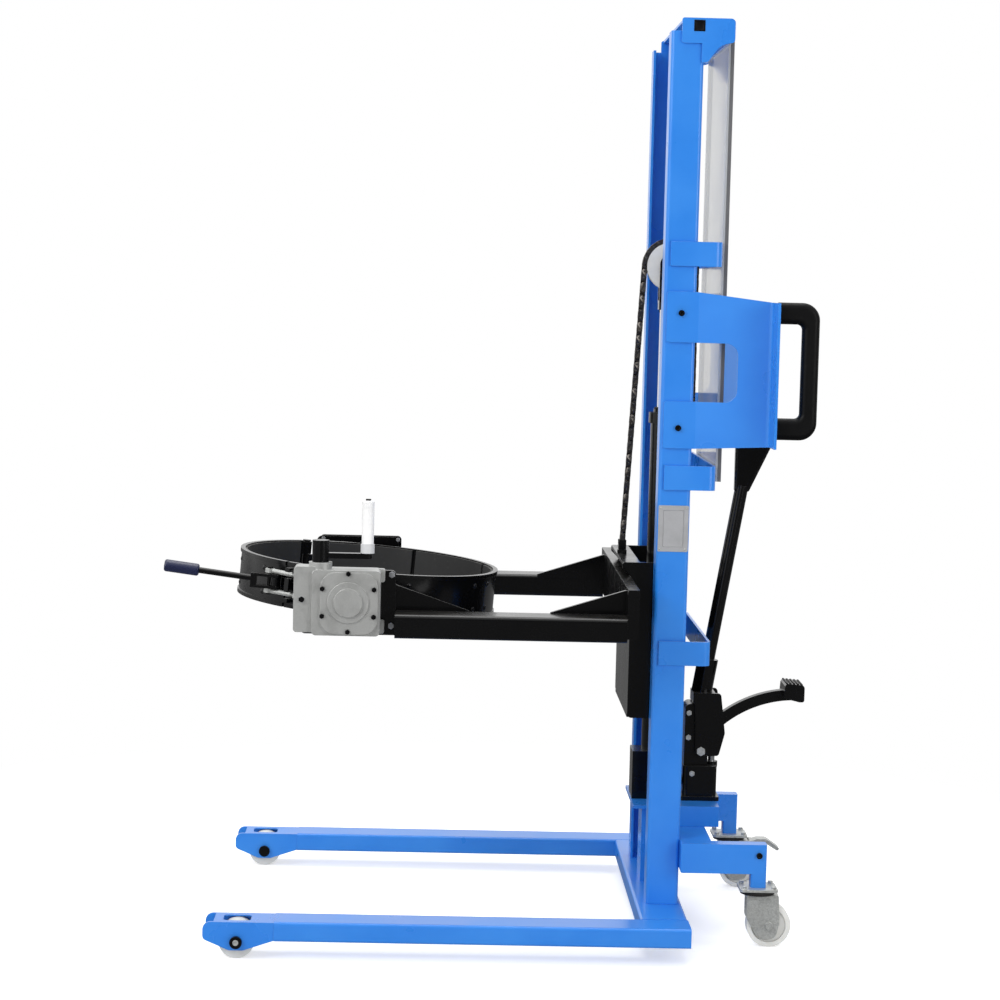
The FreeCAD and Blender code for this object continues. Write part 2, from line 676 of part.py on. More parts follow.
def brake_pedal():
    """Foot brake hinged on the back of the far caster's fork."""
    x0 = WHEEL_X + FORK_REAR
    x1 = WHEEL_X + BRAKE_REACH
    y = STEM_Y
    top = CROWN_TOP + 4
    arm = [(x0 + 4, CROWN_TOP - 3, 4), (x0 + 24, top, 16), (x1 - 34, top, 14), (x1, top - 24, 6),
           (x1 - 6, top - 30, 4),
           (x1 - 40, top - 9, 12), (x0 + 24, top - 9, 14), (x0 + 4, top - 14, 3)]
    pad = plate(arm, "xz", y - BRAKE_W / 2, y + BRAKE_W / 2)
    pin_x = x0 + 9
    pin_z = CROWN_TOP - 6
    eye = rod(6, BRAKE_W, pin_x, y - BRAKE_W / 2, pin_z, "y")
    pad = weld(pad, eye).cut(rod(3 + RUN_FIT, BRAKE_W, pin_x, y - BRAKE_W / 2, pin_z, "y"))
    out = CASTER_W / 2 + SIDE_GAP + 1 + FORK_T
    pin = rod(3, 2 * out + 2, pin_x, y - out - 1, pin_z, "y")
    ear = [(x0 - 6, CROWN_TOP), (x0 + 17, CROWN_TOP, 6), (x0 + 17, CROWN_TOP - 14, 6),
           (x0 - 6, CROWN_TOP - 14)]
    ears = [plate(ear, "xz", y - out, y - out + FORK_T), plate(ear, "xz", y + out - FORK_T, y + out)]
    return pad, pin, ears


# Lift cylinder on its foot block, with the ram that carries the chain sheave
def cylinder():
    foot = slab(FOOT_FRONT_X, 2 * CYL_X - FOOT_FRONT_X - 20, -FOOT_HALF, FOOT_HALF, DECK_TOP, FOOT_TOP)
    barrel = rod(CYL_R, CYL_TOP - GLAND_T - FOOT_TOP, CYL_X, 0, FOOT_TOP, "z")
    barrel = barrel.cut(rod(CYL_BORE, CYL_TOP, CYL_X, 0, FOOT_TOP, "z"))
    gland = rod(GLAND_R, GLAND_T, CYL_X, 0, CYL_TOP - GLAND_T, "z")
    gland = weld(gland, rod(ROD_R + 8, 8, CYL_X, 0, CYL_TOP, "z"))
    gland = gland.cut(rod(ROD_R + RUN_FIT, GLAND_T + 8, CYL_X, 0, CYL_TOP - GLAND_T, "z"))
    ram = rod(ROD_R, YOKE_LOW - ROD_LOW, CYL_X, 0, ROD_LOW, "z")
    piston = rod(CYL_BORE - RUN_FIT, PISTON_T, CYL_X, 0, ROD_LOW - PISTON_T, "z")
    return foot, barrel, gland, weld(ram, piston)


def sheave_parts():
    w = SHEAVE_W / 2
    rim = rod(SHEAVE_R, SHEAVE_W, CYL_X, -w, SHEAVE_Z, "y")
    lips = []
    for y in (-w, w - SHEAVE_LIP):
        lips.append(rod(SHEAVE_R + 2, SHEAVE_LIP, CYL_X, y, SHEAVE_Z, "y"))
    sheave = weld(rim, *lips).cut(rod(SHEAVE_AXLE_R + RUN_FIT, SHEAVE_W, CYL_X, -w, SHEAVE_Z, "y"))
    inside = w + SIDE_GAP
    out = inside + YOKE_T
    cheek = [(CYL_X - YOKE_HALF, YOKE_LOW + 16), (CYL_X + YOKE_HALF, YOKE_LOW + 16),
             (CYL_X + YOKE_HALF, SHEAVE_Z + YOKE_HALF, 20), (CYL_X - YOKE_HALF, SHEAVE_Z + YOKE_HALF, 20)]
    near = plate(cheek, "xz", -out, -inside)
    base = plate(oblong(CYL_X - YOKE_HALF, CYL_X + YOKE_HALF, -out, out, 6), "xy", YOKE_LOW, YOKE_LOW + 22)
    yoke = weld(base, near, mirror(near))
    yoke = yoke.cut(rod(SHEAVE_AXLE_R, 2 * out, CYL_X, -out, SHEAVE_Z, "y"))
    axle = rod(SHEAVE_AXLE_R, 2 * out, CYL_X, -out, SHEAVE_Z, "y")
    head = hexagon(26, 8, CYL_X, -out - 8, SHEAVE_Z, "y")
    axle = weld(axle, head, mirror(head))
    return sheave, yoke, axle


def chain(pins, first):
    """Leaf chain through pins (x, z); core links and leaf pairs take turns."""
    links = []
    half = CHAIN_H / 2
    for k in range(len(pins) - 1):
        (ax, az), (bx, bz) = pins[k], pins[k + 1]
        way = math.atan2(bz - az, bx - ax)
        spots = []
        for x, z, turns in ((ax, az, (90, 150, 210, 270)), (bx, bz, (-90, -30, 30, 90))):
            for turn in turns:
                angle = way + math.radians(turn)
                spots.append((x + half * math.cos(angle), z + half * math.sin(angle)))
        core = CHAIN_CORE / 2
        if (k + first) % 2 == 0:
            links.append(plate(spots, "xz", -core, core))
        else:
            links.append(plate(spots, "xz", core, core + CHAIN_LEAF))
            links.append(plate(spots, "xz", -core - CHAIN_LEAF, -core))
    return links


def chain_pins():
    """Pins over the sheave, down the front run and down the back run."""
    step = WRAP_ARC / WRAP_LINKS
    wrap = []
    for k in range(WRAP_LINKS + 1):
        wrap.append((CYL_X + CHAIN_R * math.cos(k * step), SHEAVE_Z + CHAIN_R * math.sin(k * step)))
    back = [(wrap[0][0], SHEAVE_Z - k * CHAIN_PITCH) for k in range(REAR_LINKS + 1)]
    x, z = wrap[-1]
    drop = math.sqrt((FRONT_LINKS * CHAIN_PITCH) ** 2 - (FRONT_ANCHOR_X - x) ** 2)
    front = []
    for k in range(FRONT_LINKS + 1):
        share = k / FRONT_LINKS
        front.append((x + (FRONT_ANCHOR_X - x) * share, z - drop * share))
    return wrap, front, back


def chain_anchor(x, pin_z, stand_z):
    """Fork that takes the last chain pin, on a threaded stud."""
    core = CHAIN_CORE / 2 + CHAIN_LEAF
    top = pin_z + 5
    low = pin_z - CHAIN_H / 2
    cheek = slab(x - 9, x + 9, -core - 5, -core, low - 12, top)
    block = slab(x - 9, x + 9, -core, core, low - 12, low)
    stud = rod(7, low - 12 - stand_z, x, 0, stand_z, "z")
    nut = hexagon(22, 9, x, 0, stand_z, "z")
    return weld(block, cheek, mirror(cheek), stud, nut)


# Lift carriage: side plates in the mast, front plate, wide beam and roller stubs
def carriage():
    side = [(CAR_MID_X, CAR_LOW, 10), (CAR_SIDE_REAR_X, CAR_LOW, 24), (CAR_SIDE_REAR_X, CAR_TOP, 24),
            (CAR_FRONT_X + 5, CAR_TOP, 4), (CAR_FRONT_X + 5, CAR_TOP - 14, 4), (CAR_MID_X, CAR_BEAM_TOP, 6)]
    near = plate(side, "xz", -CAR_SIDE_OUT, -CAR_SIDE_IN)
    for z in GUIDE_Z:
        near = near.cut(rod(GUIDE_AXLE_R, CAR_SIDE_T, CYL_X, -CAR_SIDE_OUT, z, "y"))
    t = CAR_PLATE_T
    front = slab(CAR_MID_X, CAR_MID_X + t, -CAR_SIDE_IN, CAR_SIDE_IN, CAR_LOW, CAR_BEAM_TOP)
    foot_x = DECK_FRONT_X - 6
    sill = slab(CAR_MID_X, foot_x, -CAR_SIDE_IN, CAR_SIDE_IN, CAR_LOW, CAR_LOW + t)
    shelf = slab(CAR_FRONT_X + 5, foot_x, -CAR_SIDE_IN, CAR_SIDE_IN, CAR_TOP - t, CAR_TOP)
    beam = slab(CAR_FRONT_X, CAR_MID_X, -ARM_OUT, ARM_OUT, CAR_BEAM_LOW, CAR_BEAM_TOP)
    bay = slab(CAR_FRONT_X + t, CAR_MID_X, CAR_SIDE_OUT, ARM_OUT - t, CAR_BEAM_LOW + t, CAR_BEAM_TOP - t)
    beam = beam.cut(bay).cut(mirror(bay))
    body = weld(front, near, mirror(near), sill, shelf, beam)
    return body.cut(rod(7, 3 * t, FRONT_ANCHOR_X, 0, CAR_TOP - 2 * t, "z"))


def guide_rollers():
    y0 = -CAR_SIDE_OUT - CAR_SIDE_GAP / 2 - GUIDE_W - 4
    rollers = []
    stubs = []
    for z in GUIDE_Z:
        roller = rod(GUIDE_R, GUIDE_W, CYL_X, y0, z, "y")
        rollers.append(roller.cut(rod(GUIDE_AXLE_R + RUN_FIT, GUIDE_W, CYL_X, y0, z, "y")))
        stub = rod(GUIDE_AXLE_R, -CAR_SIDE_IN - y0 + 2, CYL_X, y0 - 2, z, "y")
        stop = rod(GUIDE_AXLE_R + 5, 3, CYL_X, y0 - 3.5, z, "y")
        shoulder_y = y0 + GUIDE_W + SIDE_GAP
        shoulder = rod(GUIDE_AXLE_R + 6, -CAR_SIDE_OUT - shoulder_y, CYL_X, shoulder_y, z, "y")
        stubs.append(weld(stub, stop, shoulder))
    return rollers, stubs


# Arm: hollow section with a gusset at the beam and a tapering web plate at the nose
def arm():
    y0 = -ARM_OUT
    y1 = -ARM_IN
    tube = plate(oblong(y0, y1, ARM_LOW, ARM_TOP, ARM_CORNER), "yz", ARM_FRONT_X, CAR_FRONT_X)
    w = ARM_WALL
    inner = plate(oblong(y0 + w, y1 - w, ARM_LOW + w, ARM_TOP - w, ARM_CORNER / 2), "yz",
                  ARM_FRONT_X + w, CAR_FRONT_X)
    rear = [(REAR_GUSSET_X, ARM_TOP - 8), (CAR_FRONT_X, ARM_TOP - 8), (CAR_FRONT_X, REAR_GUSSET_TOP),
            (REAR_GUSSET_X, ARM_TOP + 2)]
    web = [(WEB_FRONT_X, WEB_LOW, 14), (ARM_FRONT_X, WEB_LOW), (ARM_FRONT_X + 30, ARM_LOW),
           (FRONT_GUSSET_X, ARM_TOP - 8), (FRONT_GUSSET_X, ARM_TOP + 2),
           (ARM_FRONT_X - 4, WEB_TOP - 30, 20),
           (ARM_FRONT_X - 14, WEB_TOP, 6), (WEB_FRONT_X, WEB_TOP, 14)]
    body = weld(tube.cut(inner), plate(rear, "xz", y1 - WEB_T, y1), plate(web, "xz", y1 - WEB_T, y1))
    body = body.cut(rod(SHAFT_R + 8, 3 * WEB_T, TRUN_X, y1 - 2 * WEB_T, TRUN_Z, "y"))
    for x, z in flange_spots():
        body = body.cut(rod(5, 3 * WEB_T, x, y1 - 2 * WEB_T, z, "y"))
    return body


def flange_spots():
    middle = BOX_LOW + BOX_H / 2
    left = 2 * TRUN_X - FLANGE_BOLT_X
    return [(x, middle + s * 58) for x in (left, FLANGE_BOLT_X) for s in (-1, 1)]


def flange():
    """Black plate between the arm's web and the gearbox or bearing."""
    right = ARM_FRONT_X - 0.2
    body = plate(oblong(2 * TRUN_X - right, right, BOX_LOW - 3, BOX_LOW + BOX_H - 6, 10), "xz", -BOX_Y,
                 -FLANGE_Y)
    body = body.cut(rod(SHAFT_R + 8, FLANGE_T, TRUN_X, -BOX_Y, TRUN_Z, "y"))
    for x, z in flange_spots():
        body = body.cut(rod(5, FLANGE_T, x, -BOX_Y, z, "y"))
    return body


def flange_bolts():
    bolts = []
    for x, z in flange_spots():
        shank = rod(5, WEB_T + FLANGE_T, x, -BOX_Y, z, "y")
        bolt = weld(shank, hexagon(13, 7, x, -BOX_Y - 7, z, "y"))
        bolts += [bolt, mirror(bolt)]
    return bolts


# Worm gearbox: bolted cast housing, cover, wheel on the trunnion shaft, upright worm
def gearbox():
    left = TRUN_X - BOX_HALF_X - 5
    right = TRUN_X + BOX_HALF_X - 5
    body = plate(oblong(left, right, BOX_LOW, BOX_TOP, BOX_CORNER), "xz", -COVER_Y, -BOX_Y)
    block = plate(oblong(WORM_BLOCK_X, left + 12, BOX_LOW + 5, BOX_TOP + 6, 8), "xz", 10 - COVER_Y,
                  -BOX_Y - 12)
    boss = rod(26, 15, WORM_X, -GEAR_Y, BOX_TOP, "z")
    ears = []
    for low in (BOX_LOW, BOX_TOP - 30):
        ears.append(plate(oblong(right - 10, right + 9, low, low + 30, 5), "xz", -BOX_Y - 26, -BOX_Y - 10))
    body = weld(body, block, boss, *ears)
    bay = rod(WHEEL_R + 4, COVER_Y - GEAR_Y + WHEEL_W / 2 + 3, TRUN_X, -COVER_Y, TRUN_Z, "y")
    body = body.cut(bay)
    body = body.cut(rod(SHAFT_R + RUN_FIT, BOX_D, TRUN_X, -COVER_Y, TRUN_Z, "y"))
    body = body.cut(rod(WORM_R + 3, WORM_LEN + 8, WORM_X, -GEAR_Y, TRUN_Z - WORM_LEN / 2 - 4, "z"))
    body = body.cut(rod(WORM_SHAFT_R + RUN_FIT, BOX_H + 20, WORM_X, -GEAR_Y, BOX_LOW + 8, "z"))
    plug = hexagon(12, 5, WORM_BLOCK_X + 18, 5 - COVER_Y, TRUN_Z + 4, "y")
    return body, plug


def gear_cover():
    left = TRUN_X - BOX_HALF_X + 14
    right = TRUN_X + BOX_HALF_X - 10
    face = plate(oblong(left, right, BOX_LOW + 4, BOX_TOP - 4, 34), "xz", -COVER_Y - COVER_T, -COVER_Y)
    ring = rod(COVER_BOSS_R + 14, COVER_T + 3, TRUN_X, -COVER_Y - COVER_T - 3, TRUN_Z, "y")
    boss = rod(COVER_BOSS_R, COVER_T + COVER_BOSS_T, TRUN_X, -COVER_Y - COVER_T - COVER_BOSS_T, TRUN_Z, "y")
    spigot = rod(WHEEL_R + 3.9, 10, TRUN_X, -COVER_Y, TRUN_Z, "y")
    body = weld(face, ring, boss, spigot)
    body = body.cut(rod(SHAFT_R + RUN_FIT, 16, TRUN_X, -COVER_Y - 6, TRUN_Z, "y"))
    heads = []
    for turn in (90, 270, 28, -28, 152, 208):
        x = TRUN_X + COVER_BOLT_R * math.cos(math.radians(turn))
        z = TRUN_Z + COVER_BOLT_R * math.sin(math.radians(turn))
        heads.append(hexagon(10, 5, x, -COVER_Y - COVER_T - 5, z, "y"))
    return body, heads


def gear_wheel():
    y0 = -GEAR_Y - WHEEL_W / 2
    wheel = rod(WHEEL_R, WHEEL_W, TRUN_X, y0, TRUN_Z, "y")
    notch = []
    for k in range(TEETH):
        turn = math.radians(360.0 / TEETH * k)
        across = math.radians(360.0 / TEETH * 0.28)
        spots = []
        for r, a in ((WHEEL_R - 5, -across / 2), (WHEEL_R + 1, -across), (WHEEL_R + 1, across),
                     (WHEEL_R - 5, across / 2)):
            spots.append((TRUN_X + r * math.cos(turn + a), TRUN_Z + r * math.sin(turn + a)))
        notch.append(plate(spots, "xz", y0, y0 + WHEEL_W))
    wheel = wheel.cut(notch)
    return wheel.cut(rod(SHAFT_R, WHEEL_W, TRUN_X, y0, TRUN_Z, "y"))


def worm():
    low = BOX_LOW + 10
    top = BOX_TOP + 15 + CRANK_HUB_H - 4
    body = rod(WORM_SHAFT_R, top - low, WORM_X, -GEAR_Y, low, "z")
    rings = []
    pitch = 2 * math.pi * (WHEEL_R - 2.5) / TEETH
    count = int(WORM_LEN / pitch)
    for k in range(count):
        z = TRUN_Z + (k - (count - 1) / 2) * pitch
        rings.append(rod(WORM_R, pitch * 0.5, WORM_X, -GEAR_Y, z - pitch * 0.25, "z"))
    return weld(body, *rings)


def crank():
    low = BOX_TOP + 15 + SIDE_GAP
    hub = rod(CRANK_HUB_R, CRANK_HUB_H, WORM_X, -GEAR_Y, low, "z")
    end = WORM_X + CRANK_R
    half = CRANK_BAR_W / 2
    bar_z = low + 8
    bar = plate([(WORM_X, -GEAR_Y - half), (end + half, -GEAR_Y - half, half - 0.1),
                 (end + half, half - GEAR_Y, half - 0.1), (WORM_X, half - GEAR_Y)], "xy", bar_z,
                bar_z + CRANK_BAR_T)
    seat_z = bar_z + CRANK_BAR_T
    spindle = rod(SPINDLE_R, GRIP_FLANGE_H + GRIP_H + 4, end, -GEAR_Y, seat_z, "z")
    body = weld(hub, bar, spindle)
    shaft_top = BOX_TOP + 15 + CRANK_HUB_H - 4
    body = body.cut(rod(WORM_SHAFT_R, shaft_top - low, WORM_X, -GEAR_Y, low, "z"))
    grip_z = seat_z + SIDE_GAP / 2
    flange = rod(GRIP_FLANGE_R, GRIP_FLANGE_H, end, -GEAR_Y, grip_z, "z")
    handle = rod(GRIP_R, GRIP_H, end, -GEAR_Y, grip_z + GRIP_FLANGE_H, "z")
    grip = weld(flange, handle)
    grip_top = grip_z + GRIP_FLANGE_H + GRIP_H
    grip = grip.makeFillet(4, [e for e in grip.Edges if e.BoundBox.ZMin > grip_top - 1])
    hole = rod(SPINDLE_R + RUN_FIT, GRIP_FLANGE_H + GRIP_H + 2, end, -GEAR_Y, grip_z - 1, "z")
    grip = grip.cut(hole)
    return body, grip


def bearing():
    """Plain bearing on the far arm, opposite the gearbox."""
    half = 58
    body = plate(oblong(TRUN_X - half, TRUN_X + half, TRUN_Z - half, TRUN_Z + half, 20), "xz", BOX_Y,
                 BOX_Y + 40)
    body = weld(body, rod(44, 54, TRUN_X, BOX_Y, TRUN_Z, "y"))
    return body.cut(rod(SHAFT_R + RUN_FIT, 48, TRUN_X, BOX_Y, TRUN_Z, "y"))


# Clamp ring in its level position; lean() sets it over for the rest pose
def lean(shape):
    shape = shape.copy()
    shape.rotate(V(TRUN_X, 0, TRUN_Z), AX["y"], TILT)
    return shape


def sector(r0, r1, start, end, low, high):
    """Part of a ring about the drum axis, angles in degrees, levels from the trunnion."""
    z = TRUN_Z + low
    whole = Part.makeCylinder(r1, high - low, V(RING_X, 0, z), AX["z"], end - start)
    whole = whole.cut(Part.makeCylinder(r0, high - low, V(RING_X, 0, z), AX["z"]))
    whole.rotate(V(RING_X, 0, z), AX["z"], start)
    return whole


def band(start, end):
    half = BAND_H / 2
    body = sector(PAD_R, BAND_R, start, end, -half, half)
    rims = [sector(BAND_R, RING_R, start, end, half - RIM_H, half),
            sector(BAND_R, RING_R, start, end, -half, RIM_H - half)]
    return weld(body, *rims)


def pads(start, end, count):
    share = (end - start) / count
    half = BAND_H / 2 - 3
    return [sector(DRUM_R, PAD_R, start + k * share + 1, start + (k + 1) * share - 1, -half,
                   half) for k in range(count)]


def at_latch(along, out):
    """Point in plan near the latch: along the ring from the split, and out from the drum axis."""
    turn = math.radians(LATCH_ANGLE)
    x = RING_X + out * math.cos(turn) - along * math.sin(turn)
    y = out * math.sin(turn) + along * math.cos(turn)
    return x, y


def latch_box(a0, a1, r0, r1, low, high):
    spots = [at_latch(a0, r0), at_latch(a1, r0), at_latch(a1, r1), at_latch(a0, r1)]
    return plate(spots, "xy", TRUN_Z + low, TRUN_Z + high)


def knuckle(low, high, side):
    """Hinge barrel with the tab that joins it to the band on one side."""
    turn = math.radians(HINGE_ANGLE)
    r = BAND_R + 6
    x = RING_X + r * math.cos(turn)
    y = r * math.sin(turn)
    barrel = rod(KNUCKLE_R, high - low, x, y, TRUN_Z + low, "z")
    a0, a1 = (HINGE_ANGLE, HINGE_ANGLE + 4) if side > 0 else (HINGE_ANGLE - 4, HINGE_ANGLE)
    return weld(barrel, sector(PAD_R, BAND_R, a0, a1, low, high)), rod(HINGE_PIN_R, high - low, x, y,
                                                                       TRUN_Z + low, "z")


def ring_parts():
    part = math.degrees(SPLIT_GAP / 2 / BAND_R)
    gap = 3.4
    back = band(LATCH_ANGLE + part, HINGE_ANGLE + 360 - gap)
    door = band(HINGE_ANGLE + gap, LATCH_ANGLE - part)
    half = TRUN_BLOCK / 2
    mast = rod(BAND_R - 1, BAND_H, RING_X, 0, TRUN_Z - BAND_H / 2, "z")
    block = slab(TRUN_X - half, TRUN_X + half, -RING_R - 20, 20 - RING_R, TRUN_Z - BAND_H / 2 + 2,
                 TRUN_Z + BAND_H / 2 - 2)
    block = block.cut(mast)
    face = ARM_IN - TRUN_GAP
    boss = rod(TRUN_BOSS_R, face - RING_R - 18, TRUN_X, -face, TRUN_Z, "y")
    side = weld(block, boss).cut(rod(SHAFT_R, face - RING_R - 4, TRUN_X, -face, TRUN_Z, "y"))
    r0 = BAND_R - 2
    mid = LATCH_RISE
    lug = latch_box(LUG_AHEAD, LUG_AHEAD + LUG_T, r0, BAND_R + LUG_REACH, mid - 40, mid + 40)
    foot = latch_box(LUG_AHEAD - 10, LUG_AHEAD + LUG_T + 14, r0 - 4, BAND_R + 8, mid - 40, mid + 40)
    bore = rod(PAD_R + 1, BAND_H, RING_X, 0, TRUN_Z - BAND_H / 2, "z")
    lug = weld(lug, foot).cut(bore)
    for s in (-1, 1):
        rise = mid + s * BOLT_RISE
        slot = latch_box(LUG_AHEAD - 12, LUG_AHEAD + LUG_T + 16, BAND_R + LATCH_STAND - BOLT_R - 2,
                         BAND_R + LUG_REACH + 1,
                         rise - BOLT_R - 1.5, rise + BOLT_R + 1.5)
        lug = lug.cut(slot)
    inner, pin_in = knuckle(-KNUCKLE_H / 2, KNUCKLE_H / 2, -1)
    back = weld(back, side, mirror(side), lug, inner).cut(pin_in)
    tops = []
    for low, high in ((KNUCKLE_H / 2 + SIDE_GAP, BAND_H / 2 - 4),
                      (4 - BAND_H / 2, -KNUCKLE_H / 2 - SIDE_GAP)):
        tops.append(knuckle(low, high, 1)[0])
    px, py = at_latch(-PIVOT_BACK, BAND_R + LATCH_STAND)
    boss = rod(BOLT_R + 6, 19, px, py, TRUN_Z + mid - 9.5, "z")
    neck = latch_box(-PIVOT_BACK - 4, -PIVOT_BACK + 9, r0, BAND_R + LATCH_STAND, mid - 9.5, mid + 9.5)
    door = weld(door, boss, neck.cut(bore), *tops)
    door = door.cut(rod(PIVOT_R + RUN_FIT, 20, px, py, TRUN_Z + mid - 10, "z"))
    turn = math.radians(HINGE_ANGLE)
    hx = RING_X + (BAND_R + 6) * math.cos(turn)
    hy = (BAND_R + 6) * math.sin(turn)
    door = door.cut(rod(HINGE_PIN_R + RUN_FIT, BAND_H, hx, hy, TRUN_Z - BAND_H / 2, "z"))
    length = BAND_H - 8
    hinge_pin = rod(HINGE_PIN_R, length, hx, hy, TRUN_Z - length / 2, "z")
    caps = [rod(HINGE_PIN_R + 4, 4, hx, hy, TRUN_Z + length / 2 + 0.5, "z"),
            rod(HINGE_PIN_R, 1, hx, hy, TRUN_Z + length / 2 - 0.4, "z")]
    hinge_pin = weld(hinge_pin, *caps)
    back_pads = pads(LATCH_ANGLE + part + 1, HINGE_ANGLE + 360 - gap - 1, 5)
    door_pads = pads(HINGE_ANGLE + gap + 1, LATCH_ANGLE - part - 1, 2)
    return back, door, hinge_pin, back_pads, door_pads


def trunnions():
    """Shafts pressed in the ring's side bosses: geared near one, plain far one."""
    inner = RING_R + 14
    near = rod(SHAFT_R, COVER_Y + 4 - inner, TRUN_X, -COVER_Y - 4, TRUN_Z, "y")
    far = rod(SHAFT_R, BOX_Y + 46 - inner, TRUN_X, inner, TRUN_Z, "y")
    return near, far


def latch_parts():
    """Lever with its eccentric pin, pivot pin, grip and the two draw bolts."""
    mid = TRUN_Z + LATCH_RISE
    px, py = at_latch(-PIVOT_BACK, BAND_R + LATCH_STAND)
    ex, ey = at_latch(-PIVOT_BACK - LATCH_THROW, BAND_R + LATCH_STAND)
    pivot = rod(PIVOT_R, 20 + 2 * LEVER_PLATE_T + 2, px, py, mid - 11 - LEVER_PLATE_T, "z")
    low = 10.5
    cheeks = []
    neck_x = px - 58
    for z in (mid + low, mid - low - LEVER_PLATE_T):
        cheek = plate([(px + 13, py - 13, 12), (px + 13, py + 11, 10), (ex + 2, ey + 13, 10),
                       (ex - 14, ey + 6, 8),
                       (neck_x, py + 8, 4), (neck_x, py - 11, 4)], "xy", z, z + LEVER_PLATE_T)
        cheeks.append(cheek)
    tie = slab(neck_x, neck_x + 14, py - 11, py + 8, mid - low - LEVER_PLATE_T, mid + low + LEVER_PLATE_T)
    pin_len = 2 * (BOLT_RISE + 9)
    pin = rod(BOLT_R, pin_len, ex, ey, mid - pin_len / 2, "z")
    rise = math.radians(LEVER_CLIMB)
    tip = -HALF_LENGTH + 2
    way = V(-math.cos(rise), 0, math.sin(rise))
    bar_len = (neck_x - tip) / math.cos(rise)
    bar = Part.makeCylinder(LEVER_R, bar_len - 4, V(neck_x + 2, py - 2, mid + 4), way)
    lever = weld(tie, bar, pin, *cheeks)
    lever = lever.cut(rod(PIVOT_R, 80, px, py, mid - 40, "z"))
    grip_len = LEVER_GRIP_SHARE * bar_len
    start = V(neck_x + 2, py - 2, mid + 4) + way * (bar_len - grip_len)
    grip = Part.makeCylinder(LEVER_GRIP_R, grip_len, start, way)
    grip = grip.makeFillet(5, [e for e in grip.Edges if e.Curve.TypeId == "Part::GeomCircle"])
    grip = grip.cut(Part.makeCylinder(LEVER_R, grip_len - 4, start, way))
    bolts = []
    nut_at = LUG_AHEAD + LUG_T + NUT_GAP
    for s in (-1, 1):
        z = mid + s * BOLT_RISE
        eye = rod(BOLT_EYE_R, 10, ex, ey, z - 5, "z")
        tx, ty = at_latch(1, 0)
        sx, sy = at_latch(0, 0)
        along = V(tx - sx, ty - sy, 0)
        shank = Part.makeCylinder(BOLT_R - 0.5, PIVOT_BACK + LATCH_THROW + nut_at + 18, V(ex, ey, z), along)
        nut = hexagon(18, 11, 0, 0, 0, "x")
        nut.rotate(V(0, 0, 0), AX["z"], LATCH_ANGLE - 270)
        nx, ny = at_latch(nut_at, BAND_R + LATCH_STAND)
        nut.translate(V(nx, ny, z))
        bolt = weld(eye, shank, nut)
        bolts.append(bolt.cut(rod(BOLT_R + RUN_FIT, 20, ex, ey, z - 10, "z")))
    return lever, pivot, grip, bolts


# Pump: tank and tower, plunger, and one rocker worked by foot pedal or hand lever
def pump():
    rear = PUMP_X + PUMP_D
    tank = plate(oblong(PUMP_X, rear, -PUMP_HALF, PUMP_HALF, 12), "xy", DECK_TOP, PUMP_TANK_TOP)
    skirt = plate(oblong(PUMP_X - 6, rear + 6, -PUMP_HALF - 8, PUMP_HALF + 8, 8), "xy", DECK_TOP,
                  DECK_TOP + 10)
    tower = [(PUMP_X + 2, PUMP_TANK_TOP - 5), (PUMP_TOWER_X + 6, PUMP_TANK_TOP - 5),
             (PUMP_TOWER_X + 6, 432, 10),
             (PUMP_TOWER_X - 12, 462, 20), (PUMP_TOWER_X - 16, PUMP_TOP, 14), (PUMP_X + 2, PUMP_TOP, 14)]
    tower = plate(tower, "xz", -PUMP_TOWER_HALF, PUMP_TOWER_HALF)
    neck = rod(PLUNGER_R + 7, 14, PLUNGER_X, 0, PUMP_TANK_TOP - 8, "z")
    body = weld(tank, skirt, tower, neck)
    body = body.cut(rod(PLUNGER_R + RUN_FIT, 80, PLUNGER_X, 0, PUMP_TANK_TOP - 62, "z"))
    wide = PUMP_TOWER_HALF + 4 + ROCK_T
    body = body.cut(rod(7, 2 * wide, ROCK_X, -wide, ROCK_Z, "y"))
    top = ROCK_Z - 8 - NOSE_GAP
    plunger = weld(rod(PLUNGER_R, top - PUMP_TANK_TOP + 36, PLUNGER_X, 0, PUMP_TANK_TOP - 36, "z"),
                   rod(PLUNGER_R + 2, 6, PLUNGER_X, 0, top - 6, "z"))
    pin = rod(7, 2 * wide, ROCK_X, -wide, ROCK_Z, "y")
    head = hexagon(19, 6, ROCK_X, -wide - 6 - SIDE_GAP, ROCK_Z, "y")
    tail = rod(7, SIDE_GAP, ROCK_X, -wide - SIDE_GAP, ROCK_Z, "y")
    pin = weld(pin, head, tail, mirror(head), mirror(tail))
    heads = []
    for x, z in PUMP_SCREWS:
        y = PUMP_HALF if z < PUMP_TANK_TOP else PUMP_TOWER_HALF
        heads.append(hexagon(12, 4, x, -y - 4, z, "y"))
    return body, plunger, [pin] + heads


